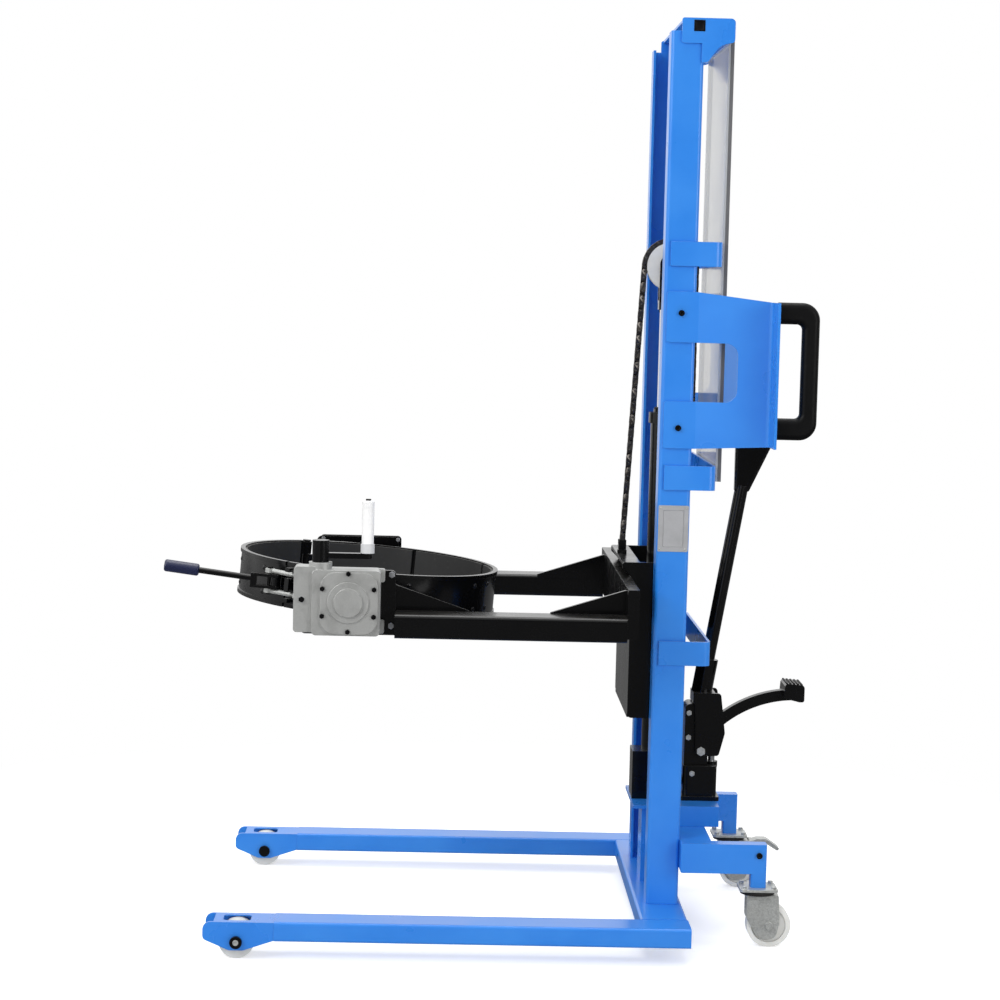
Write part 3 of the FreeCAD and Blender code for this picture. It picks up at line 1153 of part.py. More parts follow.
def rocker():
    inside = PUMP_TOWER_HALF + 4
    out = inside + ROCK_T
    socket_low = PUMP_TOP + 2
    socket_top = socket_low + SOCKET_T
    side = [(ROCK_X - 14, ROCK_Z - 13, 13), (PLUNGER_X + 12, ROCK_Z - 11, 8),
            (PLUNGER_X + 26, ROCK_Z + 44, 14),
            (PLUNGER_X + 14, socket_top, 8), (SOCKET_FRONT_X, socket_top, 8),
            (SOCKET_FRONT_X + 5, socket_low - 24, 14),
            (ROCK_X - 14, ROCK_Z + 16, 13)]
    near = plate(side, "xz", -out, -inside)
    near = near.cut(rod(7 + RUN_FIT, ROCK_T, ROCK_X, -out, ROCK_Z, "y"))
    nose = rod(8, 2 * inside, PLUNGER_X, -inside, ROCK_Z, "y")
    socket = slab(SOCKET_FRONT_X, SOCKET_REAR_X, -inside, inside, socket_low, socket_top)
    tie = slab(PLUNGER_X + 4, PEDAL_FRONT_X, -inside, inside, ROCK_Z + 48, ROCK_Z + 94)
    return weld(near, mirror(near), nose, socket, tie), hand_lever(socket_top)


def hand_lever(socket_top):
    """Stout sleeve, tube and D-shaped grip, leaning back from the rocker's socket."""
    foot = V(HAND_FOOT[0], 0, HAND_FOOT[1])
    head = V(HAND_TOP[0], 0, HAND_TOP[1])
    way = head - foot
    span = way.Length
    way.normalize()
    tube = Part.makeCylinder(HAND_R, span, foot, way)
    sleeve = Part.makeCylinder(SLEEVE_R, SLEEVE_LEN, foot, way)
    half = DGRIP_T / 2
    low = HAND_TOP[1] - 14
    front = DGRIP_FRONT_X
    rear = DGRIP_REAR_X
    shape = [(front, low, 6), (front, DGRIP_TOP, 24), (rear - 6, DGRIP_TOP, 24), (rear, DGRIP_SHOULDER, 20),
             (HAND_TOP[0] + HAND_R, low, 6)]
    bar = DGRIP_BAR
    hole = [(front + bar, DGRIP_SHOULDER + bar, 10), (front + bar, DGRIP_TOP - bar, 12),
            (rear - 6 - bar, DGRIP_TOP - bar, 12), (rear - bar, DGRIP_SHOULDER + bar, 10)]
    grip = plate(shape, "xz", -half, half).cut(plate(hole, "xz", -half, half))
    rims = [e for e in grip.Edges if e.BoundBox.YLength < 0.1]
    grip = grip.makeFillet(half / 2, rims)
    floor = slab(foot.x - 2 * SLEEVE_R, foot.x + 2 * SLEEVE_R, -SLEEVE_R, SLEEVE_R, foot.z - 40, socket_top)
    return weld(tube, sleeve, grip).cut(floor)


def foot_pedal():
    """Bar bowed to an arc, with a broad pad across its tip."""
    half = PEDAL_BAR_W / 2
    start_x = PEDAL_FRONT_X - PEDAL_ROOT
    end_x = HALF_LENGTH - PEDAL_TIP
    middle_x = start_x + PEDAL_BOW * (end_x - start_x)
    points = [V(x, -half, z) for x, z in zip((start_x, middle_x, end_x), PEDAL_Z)]
    spine = Part.Arc(*points).toShape().Curve
    centre = V(spine.Center)
    edges = []
    for share in (1 - PEDAL_T / 2 / spine.Radius, 1 + PEDAL_T / 2 / spine.Radius):
        edges.append(Part.Arc(*[centre + (p - centre) * share for p in points]).toShape())
    for k in (0, -1):
        edges.append(Part.makeLine(edges[0].Vertexes[k].Point, edges[1].Vertexes[k].Point))
    bar = Part.Face(Part.Wire(Part.__sortEdges__(edges))).extrude(V(0, PEDAL_BAR_W, 0))
    root = slab(PEDAL_FRONT_X - 60, PEDAL_FRONT_X, -half, half, ROCK_Z, PUMP_TOP)
    end_z = PEDAL_Z[2]
    tip = HALF_LENGTH
    pad = [(tip - PEDAL_PAD, end_z - 4, 8), (tip - PEDAL_PAD + 3, PEDAL_PAD_TOP, 8),
           (tip, PEDAL_PAD_TOP - 4, 8),
           (tip, end_z - PEDAL_T / 2, 7), (tip - 12, end_z - PEDAL_T / 2, 4)]
    return weld(bar.cut(root), plate(pad, "xz", -PEDAL_W / 2, PEDAL_W / 2))


def release_valve():
    y = PUMP_HALF
    stem = rod(5, 14, PUMP_X + 24, y, PORT_Z, "y")
    knob = rod(15, 12, PUMP_X + 24, y + 14, PORT_Z, "y")
    return weld(stem, knob)


def feed_pipe():
    x0 = 2 * CYL_X - FOOT_FRONT_X - 20
    tube = rod(6, PUMP_X - x0, x0, 0, PORT_Z, "x")
    return weld(tube, hexagon(19, 6, x0, 0, PORT_Z, "x"), hexagon(19, 6, PUMP_X - 6, 0, PORT_Z, "x"))


os.makedirs("parts", exist_ok=True)

near_leg = leg()
save("leg_left", near_leg)
save("leg_right", mirror(near_leg))
near_roller = load_roller()
save("load_roller_left", near_roller)
save("load_roller_right", mirror(near_roller))
near_axle = load_axle()
save("load_axles", near_axle, mirror(near_axle))
save("cross_beam", cross_beam())

near_upright = upright()
save("upright_left", near_upright)
save("upright_right", mirror(near_upright))
save("mast_cap", mast_cap())
save("mast_braces", *[strap(BRACE_LAP_X, BRACE_REAR_X, z, z + BRACE_H) for z in BRACE_Z])
panel, fixings = guard()
save("guard_panel", panel)
save("blank_plate", tag())
near_bracket = handle_bracket()
save("handle_brackets", near_bracket, mirror(near_bracket))
near_grab = grab_handle()
save("grab_handles", near_grab, mirror(near_grab))
save("frame_bolts", *(bracket_bolts() + stem_bolts() + fixings))
save("caster_frame", caster_frame())
save("pump_deck", pump_deck())

mount, fork, axle, wheel = caster()
pedal, pedal_pin, ears = brake_pedal()
save("caster_plates", mount, mirror(mount))
save("caster_fork_left", fork, axle)
save("caster_fork_right", weld(mirror(fork), *ears).cut(pedal_pin), mirror(axle), pedal_pin)
save("caster_wheel_left", wheel)
save("caster_wheel_right", mirror(wheel))
save("brake_pedal", pedal)

foot, barrel, gland, ram = cylinder()
sheave, yoke, sheave_axle = sheave_parts()
wrap, front, back = chain_pins()
back_stand = CYL_TOP - GLAND_T - 30
back_anchor = chain_anchor(back[-1][0], back[-1][1], back_stand)
shelf = slab(CYL_X, back[-1][0] + 14, -16, 16, back_stand - 12, back_stand)
shelf = shelf.cut(rod(CYL_R - 1, 60, CYL_X, 0, back_stand - 20, "z"))
save("cylinder_foot", foot)
save("cylinder_barrel", weld(barrel, shelf, back_anchor), gland)
save("piston_rod", ram)
save("chain_sheave", sheave)
save("sheave_yoke", yoke, sheave_axle)
save("chain_wrap", *chain(wrap, 0))
save("chain_front", *chain(front, WRAP_LINKS))
save("chain_back", *chain(back, 1))
save("chain_anchor", chain_anchor(front[-1][0], front[-1][1], CAR_TOP))

rollers, stubs = guide_rollers()
save("carriage", carriage(), *(stubs + [mirror(s) for s in stubs]))
save("guide_rollers_low", rollers[0], mirror(rollers[0]))
save("guide_rollers_top", rollers[1], mirror(rollers[1]))
near_arm = arm()
near_flange = flange()
save("arm_left", near_arm, near_flange)
save("arm_right", mirror(near_arm), mirror(near_flange))
box, plug = gearbox()
cover, heads = gear_cover()
save("gearbox", box)
save("gearbox_cover", cover)
save("gearbox_bolts", plug, *(heads + flange_bolts()))
save("worm_shaft", worm())
crank_arm, crank_grip = crank()
save("crank_arm", crank_arm)
save("crank_grip", crank_grip)
save("far_bearing", bearing())

ring_back, ring_door, hinge_pin, back_pads, door_pads = ring_parts()
near_shaft, far_shaft = trunnions()
save("trunnion_shafts", lean(near_shaft), lean(far_shaft), lean(gear_wheel()))
save("ring_back", lean(ring_back), lean(hinge_pin))
save("ring_door", lean(ring_door))
save("ring_pads_back", *[lean(p) for p in back_pads])
save("ring_pads_door", *[lean(p) for p in door_pads])
lever, pivot, lever_grip, draw_bolts = latch_parts()
save("latch_lever", lean(lever), lean(pivot))
save("latch_grip", lean(lever_grip))
save("draw_bolts", *[lean(b) for b in draw_bolts])

pump_body, plunger, pump_fixings = pump()
save("pump_body", pump_body)
save("pump_plunger", plunger)
save("pump_bolts", *pump_fixings)
rock, lever_hand = rocker()
save("pump_rocker", rock)
save("hand_lever", lever_hand)
save("foot_pedal", foot_pedal())
save("release_valve", release_valve())
save("feed_pipe", feed_pipe())
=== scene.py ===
import json
import logging
import math
from collections.abc import Callable
from dataclasses import dataclass
from enum import Enum

import bpy
from mathutils import Matrix, Vector

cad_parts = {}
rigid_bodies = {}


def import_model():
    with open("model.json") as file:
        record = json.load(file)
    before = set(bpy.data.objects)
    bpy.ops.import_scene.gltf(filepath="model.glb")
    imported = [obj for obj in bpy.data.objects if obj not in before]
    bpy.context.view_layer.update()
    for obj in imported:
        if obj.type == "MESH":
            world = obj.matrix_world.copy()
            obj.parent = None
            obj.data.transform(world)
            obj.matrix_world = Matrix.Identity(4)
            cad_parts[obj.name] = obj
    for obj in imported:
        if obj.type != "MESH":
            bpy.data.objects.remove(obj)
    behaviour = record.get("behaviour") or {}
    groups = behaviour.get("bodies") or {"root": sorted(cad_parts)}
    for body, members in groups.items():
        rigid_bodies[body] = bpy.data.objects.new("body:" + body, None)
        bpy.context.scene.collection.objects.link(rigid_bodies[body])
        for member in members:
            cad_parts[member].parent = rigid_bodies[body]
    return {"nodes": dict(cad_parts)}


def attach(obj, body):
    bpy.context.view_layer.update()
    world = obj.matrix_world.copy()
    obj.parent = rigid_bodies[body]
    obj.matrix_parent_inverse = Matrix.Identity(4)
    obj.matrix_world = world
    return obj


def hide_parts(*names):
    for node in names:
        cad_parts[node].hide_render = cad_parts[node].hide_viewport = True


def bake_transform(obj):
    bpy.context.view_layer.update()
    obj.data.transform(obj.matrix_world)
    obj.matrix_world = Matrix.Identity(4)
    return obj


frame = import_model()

LOG = logging.getLogger("drum_tipper")


def paint_tone(red: int, green: int, blue: int) -> tuple[float, float, float, float]:
    """Turn a colour read off a screen into the linear colour a shader takes.

    Args:
        red: Red from 0 to 255.
        green: Green from 0 to 255.
        blue: Blue from 0 to 255.

    Returns:
        The linear colour with an alpha of 1.
    """
    def linear(level: int) -> float:
        """Undo the screen curve for one channel."""
        share = level / 255
        return share / 12.92 if share <= 0.04045 else ((share + 0.055) / 1.055) ** 2.4

    return (linear(red), linear(green), linear(blue), 1.0)


def dimmed(tone: tuple[float, ...], share: float) -> tuple[float, ...]:
    """Darken a linear colour to a share of itself, with an alpha of 1."""
    return tuple(level * share for level in tone[:3]) + (1.0,)


class Bench:
    """A shader node tree with short calls to add and join nodes."""

    def __init__(self, tree: bpy.types.NodeTree) -> None:
        """Work on this tree."""
        self.tree = tree

    def add(self, kind: str, settings: dict | None = None, **inputs: object) -> bpy.types.Node:
        """Add a node and fill its sockets.

        Args:
            kind: Node type name.
            settings: Properties of the node itself.
            inputs: Values or sockets by input name, with _ for a space.

        Returns:
            The new node.
        """
        node = self.tree.nodes.new(kind)
        for name, value in (settings or {}).items():
            setattr(node, name, value)
        for name, value in inputs.items():
            self.fill(node.inputs[name.replace("_", " ")], value)
        return node

    def fill(self, socket: bpy.types.NodeSocket, value: object) -> None:
        """Link a socket to another one, or set its value."""
        if isinstance(value, bpy.types.NodeSocket):
            self.tree.links.new(value, socket)
        else:
            socket.default_value = value

    def sum(self, operation: str, first: object, second: object = 0.0) -> bpy.types.NodeSocket:
        """Add a clamped Math node.

        Args:
            operation: Name of the Math operation.
            first: First value or socket.
            second: Second value or socket.

        Returns:
            The result socket.
        """
        node = self.add("ShaderNodeMath", {"operation": operation, "use_clamp": True})
        self.fill(node.inputs[0], first)
        self.fill(node.inputs[1], second)
        return node.outputs[0]

    def mix(self, share: object, under: object, over: object) -> bpy.types.NodeSocket:
        """Mix two colours.

        Args:
            share: How much of the second colour shows.
            under: First colour or socket.
            over: Second colour or socket.

        Returns:
            The mixed colour socket.
        """
        node = self.add("ShaderNodeMix", {"data_type": "RGBA"})
        self.fill(node.inputs[0], share)
        self.fill(node.inputs[6], under)
        self.fill(node.inputs[7], over)
        return node.outputs[2]

    def layer(self, share: object, under: object, over: object) -> bpy.types.NodeSocket:
        """Mix two shaders, as mix does colours."""
        node = self.add("ShaderNodeMixShader", Fac=share)
        self.fill(node.inputs[1], under)
        self.fill(node.inputs[2], over)
        return node.outputs[0]

    def white(self, kind: str, strength: object) -> bpy.types.NodeSocket:
        """Add a white Emission or Background node of some strength."""
        return self.add(kind, Color=(1, 1, 1, 1), Strength=strength).outputs[0]

    def spread(self, value: object, low: float, high: float, to_low: float = 0.0,
               to_high: float = 1.0) -> bpy.types.NodeSocket:
        """Map a range of values to another one, clamped.

        Args:
            value: Value or socket to map.
            low: Start of the range that comes in.
            high: End of the range that comes in.
            to_low: Start of the range that goes out.
            to_high: End of the range that goes out.

        Returns:
            The mapped value socket.
        """
        node = self.add("ShaderNodeMapRange", Value=value, From_Min=low, From_Max=high,
                        To_Min=to_low, To_Max=to_high)
        return node.outputs[0]

    def noise(self, scale: object, detail: float = 3.0, stretch: tuple = (1, 1, 1)) -> bpy.types.NodeSocket:
        """Add noise on the piece's own coordinates.

        Args:
            scale: Grains per metre.
            detail: Octaves of noise.
            stretch: Scale factors along the axes.

        Returns:
            The noise value socket.
        """
        place = self.add("ShaderNodeTexCoord").outputs["Object"]
        if tuple(stretch) != (1, 1, 1):
            place = self.add("ShaderNodeMapping", Vector=place, Scale=stretch).outputs[0]
        return self.add("ShaderNodeTexNoise", Vector=place, Scale=scale, Detail=detail).outputs[0]


class Effect(Enum):
    """The surface effects that several finishes share."""

    EDGE = "softened_edge"
    # Dust on faces that look up; on the black paint, kept to the tops, it is partly a painted sheen.
    DUST = "settled_dust"
    MOTTLE = "mottled_coat"


class EffectShelf:
    """Builds each shared effect once, as a shader node group."""

    def __init__(self) -> None:
        """Build the groups."""
        self.trees = {
            Effect.EDGE: self.softened_edge(),
            Effect.DUST: self.settled_dust(),
            Effect.MOTTLE: self.mottled_coat(),
        }

    @staticmethod
    def blank(effect: Effect, inputs: dict[str, float], outputs: dict[str, str]) -> tuple[Bench, dict, dict]:
        """Start a group with its sockets.

        Args:
            effect: The effect that the group makes.
            inputs: Default value by input name.
            outputs: Socket type by output name.

        Returns:
            The bench, the input sockets by name and the output sockets by name.
        """
        tree = bpy.data.node_groups.new(effect.value, "ShaderNodeTree")
        for name, value in inputs.items():
            socket = tree.interface.new_socket(name, in_out="INPUT", socket_type="NodeSocketFloat")
            socket.default_value = value
        for name, kind in outputs.items():
            tree.interface.new_socket(name, in_out="OUTPUT", socket_type=kind)
        bench = Bench(tree)
        given = bench.add("NodeGroupInput").outputs
        result = bench.add("NodeGroupOutput").inputs
        return bench, given, result

    def softened_edge(self) -> bpy.types.NodeTree:
        """Round the light on sharp edges and mark where paint rubs thin.

        Returns:
            The group's tree.
        """
        bench, given, result = self.blank(
            Effect.EDGE, {"Radius": 0.0015, "Rub Scale": 60.0},
            {"Normal": "NodeSocketVector", "Rub": "NodeSocketFloat"})
        rounded = bench.add("ShaderNodeBevel", {"samples": 6}, Radius=given["Radius"]).outputs[0]
        plain = bench.add("ShaderNodeNewGeometry").outputs["Normal"]
        turn = bench.add("ShaderNodeVectorMath", {"operation": "DOT_PRODUCT"})
        bench.fill(turn.inputs[0], rounded)
        bench.fill(turn.inputs[1], plain)
        edge = bench.spread(turn.outputs["Value"], 0.995, 0.85)
        patch = bench.spread(bench.noise(given["Rub Scale"], 4.0), 0.45, 0.7)
        bench.fill(result["Normal"], rounded)
        bench.fill(result["Rub"], bench.sum("MULTIPLY", edge, patch))
        return bench.tree

    def settled_dust(self) -> bpy.types.NodeTree:
        """Mark where dust lies: faces that look up, thicker near the floor. With no cling it lies on the tops
        alone, and on the black paint it is partly a painted sheen there.

        Returns:
            The group's tree.
        """
        bench, given, result = self.blank(Effect.DUST, {"Amount": 0.3, "Reach": 0.9, "Cling": 0.4},
                                          {"Dust And Sheen": "NodeSocketFloat"})
        facing = bench.add("ShaderNodeSeparateXYZ",
                           Vector=bench.add("ShaderNodeNewGeometry").outputs["Normal"]).outputs["Z"]
        # Faces that look up get the most; with no cling, as on the black paint, only the tops lighten, partly
        # as a painted sheen.
        up = bench.spread(facing, 0.35, 1.0)
        height = bench.add("ShaderNodeSeparateXYZ",
                           Vector=bench.add("ShaderNodeTexCoord").outputs["Object"]).outputs["Z"]
        low = bench.sum("SUBTRACT", 1.0, bench.sum("DIVIDE", height, given["Reach"]))
        cloud = bench.spread(bench.noise(26.0, 6.0), 0.2, 0.7)
        side = bench.sum("MULTIPLY", low, given["Cling"])
        lying = bench.sum("MULTIPLY", bench.sum("MAXIMUM", up, side), cloud)
        bench.fill(result["Dust And Sheen"], bench.sum("MULTIPLY", lying, given["Amount"]))
        return bench.tree

    def mottled_coat(self) -> bpy.types.NodeTree:
        """Vary a coat's tone and gloss in wide patches, with a fine skin on top.

        Returns:
            The group's tree.
        """
        bench, given, result = self.blank(
            Effect.MOTTLE, {"Patch Scale": 7.0, "Skin Scale": 900.0},
            {"Patch": "NodeSocketFloat", "Skin": "NodeSocketFloat"})
        bench.fill(result["Patch"], bench.spread(bench.noise(given["Patch Scale"], 5.0), 0.3, 0.7))
        bench.fill(result["Skin"], bench.noise(given["Skin Scale"], 2.0))
        return bench.tree

    def place(self, bench: Bench, effect: Effect, **inputs: float) -> dict:
        """Put an effect into a material.

        Args:
            bench: The material's bench.
            effect: Which effect.
            inputs: Values by input name, with _ for a space.

        Returns:
            The effect's output sockets by name.
        """
        return bench.add("ShaderNodeGroup", {"node_tree": self.trees[effect]}, **inputs).outputs


class Grain(Enum):
    """What the bare surface of a metal looks like."""

    CAST = "cast"
    SPANGLE = "spangle"
    GROUND = "ground"


@dataclass(frozen=True)
class Zone:
    """A stretch of a piece, past a level along one axis, that has another tone."""

    axis: str
    level: float
    beyond: bool
    tone: tuple[int, int, int]

    def lay(self, bench: Bench, colour: bpy.types.NodeSocket) -> bpy.types.NodeSocket:
        """Mix the zone's tone over a colour.

        Args:
            bench: The material's bench.
            colour: The colour outside the zone.

        Returns:
            The colour with the zone in it.
        """
        place = bench.add("ShaderNodeTexCoord").outputs["Object"]
        along = bench.add("ShaderNodeSeparateXYZ", Vector=place).outputs[self.axis]
        ends = (self.level - 0.0002, self.level + 0.0002)
        inside = bench.spread(along, *(ends if self.beyond else ends[::-1]))
        return bench.mix(inside, colour, paint_tone(*self.tone))


@dataclass(frozen=True)
class Finish:
    """What all finishes have: a name, a tone, a gloss and soft edges."""

    name: str
    tone: tuple[int, int, int]
    roughness: float
    edge: float = 0.0014
    # Dust on faces that look up; on the black paint it is partly a painted sheen on the tops.
    dust_and_sheen: float = 0.12
    cling: float = 0.4
    shine: float = 0.5
    zone: Zone | None = None

    def material(self, shelf: EffectShelf) -> bpy.types.Material:
        """Make the material, with what its kind of finish lays on the shader.

        Args:
            shelf: The shared effects.

        Returns:
            The finished material.
        """
        material = bpy.data.materials.new(self.name)
        material.use_nodes = True
        shader = material.node_tree.nodes["Principled BSDF"]
        shader.inputs["Specular IOR Level"].default_value = self.shine
        self.lay(Bench(material.node_tree), shader, shelf)
        return material

    def lay(self, bench: Bench, shader: bpy.types.Node, shelf: EffectShelf) -> None:
        """Lay this kind of finish on a shader. Each kind has its own.

        Args:
            bench: The material's bench.
            shader: Its shader.
            shelf: The shared effects.
        """
        raise NotImplementedError(self.name)

    @staticmethod
    def relieve(bench: Bench, shader: bpy.types.Node, normal: bpy.types.NodeSocket,
                height: bpy.types.NodeSocket, strength: float, distance: float) -> None:
        """Give the shader a fine relief over its softened edges.

        Args:
            bench: The material's bench.
            shader: Its shader.
            normal: The softened normal.
            height: The relief's height.
            strength: How much of it shows.
            distance: Its depth in metres.
        """
        bump = bench.add("ShaderNodeBump", Strength=strength, Distance=distance, Height=height, Normal=normal)
        bench.fill(shader.inputs["Normal"], bump.outputs[0])


@dataclass(frozen=True)
class PaintFinish(Finish):
    """Sprayed or powder-coated paint on steel."""

    deep_tone: tuple[int, int, int] = (0, 0, 0)
    rub_tone: tuple[int, int, int] = (150, 150, 150)
    rub: float = 0.35
    peel: float = 0.05
    peel_scale: float = 420.0
    coat: float = 0.0
    coat_roughness: float = 0.12

    def lay(self, bench: Bench, shader: bpy.types.Node, shelf: EffectShelf) -> None:
        """Mix the paint."""
        edge = shelf.place(bench, Effect.EDGE, Radius=self.edge)
        coat = shelf.place(bench, Effect.MOTTLE, Skin_Scale=self.peel_scale)
        dust_and_sheen = shelf.place(bench, Effect.DUST, Amount=self.dust_and_sheen, Cling=self.cling)
        colour = bench.mix(coat["Patch"], paint_tone(*self.deep_tone), paint_tone(*self.tone))
        colour = bench.mix(bench.sum("MULTIPLY", edge["Rub"], self.rub), colour, paint_tone(*self.rub_tone))
        # Pale dust colour over the paint; on the black paint, tops only, it is partly a painted sheen.
        colour = bench.mix(dust_and_sheen["Dust And Sheen"], colour, paint_tone(186, 182, 174))
        bench.fill(shader.inputs["Base Color"], colour)
        gloss = bench.spread(coat["Patch"], 0.0, 1.0, self.roughness - 0.05, self.roughness + 0.06)
        bench.fill(shader.inputs["Roughness"], bench.sum("ADD", gloss, dust_and_sheen["Dust And Sheen"]))
        shader.inputs["Coat Weight"].default_value = self.coat
        shader.inputs["Coat Roughness"].default_value = self.coat_roughness
        self.relieve(bench, shader, edge["Normal"], coat["Skin"], self.peel, 0.0006)


@dataclass(frozen=True)
class MetalFinish(Finish):
    """Bare or plated metal."""

    grain: Grain = Grain.GROUND
    grain_scale: float = 300.0
    depth: float = 0.12
    stain_tone: tuple[int, int, int] = (70, 68, 64)
    stain: float = 0.3
    metallic: float = 1.0

    def pattern(self, bench: Bench) -> bpy.types.NodeSocket:
        """Lay the grain of this metal.

        Args:
            bench: The material's bench.

        Returns:
            The grain's value socket.
        """
        if self.grain is Grain.SPANGLE:
            place = bench.add("ShaderNodeTexCoord").outputs["Object"]
            cells = bench.add("ShaderNodeTexVoronoi", Vector=place, Scale=self.grain_scale)
            return bench.add("ShaderNodeSeparateColor", Color=cells.outputs["Color"]).outputs[0]
        if self.grain is Grain.CAST:
            return bench.noise(self.grain_scale, 6.0)
        return bench.noise(self.grain_scale, 2.0, (1, 1, 14))

    def lay(self, bench: Bench, shader: bpy.types.Node, shelf: EffectShelf) -> None:
        """Finish the metal."""
        edge = shelf.place(bench, Effect.EDGE, Radius=self.edge)
        coat = shelf.place(bench, Effect.MOTTLE, Patch_Scale=24.0)
        dust_and_sheen = shelf.place(bench, Effect.DUST, Amount=self.dust_and_sheen, Cling=self.cling)
        grain = self.pattern(bench)
        bright = paint_tone(*self.tone)
        colour = bench.mix(grain, dimmed(bright, 0.78), bright)
        colour = bench.mix(bench.spread(coat["Patch"], 0.55, 0.0, 0.0, self.stain), colour,
                           paint_tone(*self.stain_tone))
        if self.zone:
            colour = self.zone.lay(bench, colour)
        bench.fill(shader.inputs["Base Color"], colour)
        gloss = bench.spread(grain, 0.2, 0.8, self.roughness - 0.06, self.roughness + 0.08)
        bench.fill(shader.inputs["Roughness"], bench.sum("ADD", gloss, dust_and_sheen["Dust And Sheen"]))
        shader.inputs["Metallic"].default_value = self.metallic
        self.relieve(bench, shader, edge["Normal"], grain, self.depth, 0.0008)


@dataclass(frozen=True)
class PlasticFinish(Finish):
    """Moulded or turned plastic and rubber."""

    worn_tone: tuple[int, int, int] = (90, 90, 90)
    wear: float = 0.3
    grain_scale: float = 1400.0
    depth: float = 0.1
    glow: float = 0.0

    def lay(self, bench: Bench, shader: bpy.types.Node, shelf: EffectShelf) -> None:
        """Mould the plastic."""
        edge = shelf.place(bench, Effect.EDGE, Radius=self.edge, Rub_Scale=140.0)
        coat = shelf.place(bench, Effect.MOTTLE, Patch_Scale=18.0, Skin_Scale=self.grain_scale)
        dust_and_sheen = shelf.place(bench, Effect.DUST, Amount=self.dust_and_sheen, Cling=self.cling)
        tone = paint_tone(*self.tone)
        colour = bench.mix(coat["Patch"], dimmed(tone, 0.86), tone)
        if self.zone:
            colour = self.zone.lay(bench, colour)
        scuff = bench.sum("MAXIMUM", edge["Rub"], bench.spread(bench.noise(70.0, 8.0), 0.62, 0.8, 0.0, 0.6))
        colour = bench.mix(bench.sum("MULTIPLY", scuff, self.wear), colour, paint_tone(*self.worn_tone))
        colour = bench.mix(dust_and_sheen["Dust And Sheen"], colour, paint_tone(170, 166, 158))
        bench.fill(shader.inputs["Base Color"], colour)
        gloss = bench.spread(coat["Patch"], 0.0, 1.0, self.roughness - 0.05, self.roughness + 0.07)
        bench.fill(shader.inputs["Roughness"], bench.sum("ADD", gloss, dust_and_sheen["Dust And Sheen"]))
        shader.inputs["Subsurface Weight"].default_value = self.glow
        shader.inputs["Subsurface Radius"].default_value = (0.006, 0.005, 0.004)
        self.relieve(bench, shader, edge["Normal"], coat["Skin"], self.depth, 0.0005)


@dataclass(frozen=True)
class SheetFinish(Finish):
    """Thin clear sheet, seen through with a grey cast."""

    cover: float = 0.5

    def lay(self, bench: Bench, shader: bpy.types.Node, shelf: EffectShelf) -> None:
        """Cast the sheet."""
        coat = shelf.place(bench, Effect.MOTTLE, Patch_Scale=5.0)
        haze = bench.spread(bench.noise(4.0, 4.0), 0.3, 0.7, 0.0, 0.06)
        tone = paint_tone(*self.tone)
        bench.fill(shader.inputs["Base Color"], bench.mix(coat["Patch"], dimmed(tone, 0.93), tone))
        bench.fill(shader.inputs["Roughness"],
                   bench.spread(coat["Patch"], 0.0, 1.0, self.roughness, self.roughness + 0.08))
        bench.fill(shader.inputs["Alpha"], bench.sum("ADD", haze, self.cover))


BLUE_PAINT = PaintFinish("blue_enamel", (45, 135, 228), 0.30, deep_tone=(37, 126, 222),
                         rub_tone=(150, 190, 235), coat=0.25, dust_and_sheen=0.02)
# The black paint's dust lies on its tops alone (no cling): partly dust, partly a painted sheen there.
BLACK_PAINT = PaintFinish("black_satin_paint", (7, 7, 8), 0.26, deep_tone=(5, 5, 6),
                          rub_tone=(70, 70, 72), peel=0.08, dust_and_sheen=0.05, cling=0.0, shine=0.12, coat=0.45)
CAST_ALUMINIUM = MetalFinish("cast_aluminium", (192, 193, 191), 0.42, grain=Grain.CAST,
                             grain_scale=420.0, depth=0.28, stain=0.22, metallic=0.55)
ZINC_PLATE = MetalFinish("zinc_plate", (204, 206, 203), 0.34, grain=Grain.SPANGLE, grain_scale=320.0,
                         depth=0.03, stain=0.14, stain_tone=(112, 110, 106), metallic=0.55, dust_and_sheen=0.05)
HARD_CHROME = MetalFinish("hard_chrome", (222, 224, 228), 0.10, grain_scale=500.0, depth=0.02, stain=0.05)
OILED_STEEL = MetalFinish("oiled_chain_steel", (92, 88, 84), 0.34, grain_scale=420.0, depth=0.10, stain=0.55,
                          stain_tone=(26, 24, 22), metallic=0.9)
PIN_STEEL = MetalFinish("chain_pin_steel", (92, 90, 87), 0.32, grain_scale=420.0, depth=0.06, stain=0.4,
                        metallic=0.8)
WHITE_NYLON = PlasticFinish("white_nylon", (233, 233, 229), 0.38, worn_tone=(150, 146, 136), wear=0.35,
                            grain_scale=700.0, depth=0.06, glow=0.12, dust_and_sheen=0.12)
WHITE_GRIP = PlasticFinish("white_grip", (250, 250, 250), 0.30, worn_tone=(200, 200, 198), wear=0.15,
                           depth=0.04, dust_and_sheen=0.0, zone=Zone("Z", 0.9345, False, (206, 207, 209)))
NAVY_GRIP = PlasticFinish("navy_grip", (22, 30, 66), 0.30, worn_tone=(70, 80, 120), wear=0.3)
BLACK_GRIP = PlasticFinish("black_grip", (7, 7, 8), 0.42, worn_tone=(40, 40, 40), wear=0.2, dust_and_sheen=0.0,
                           cling=0.0, shine=0.15)
PAD_RUBBER = PlasticFinish("pad_rubber", (27, 27, 27), 0.62, worn_tone=(84, 82, 80), wear=0.45,
                           grain_scale=600.0, depth=0.2)
CLEAR_SHEET = SheetFinish("clear_guard_sheet", (176, 178, 179), 0.10, cover=0.6)
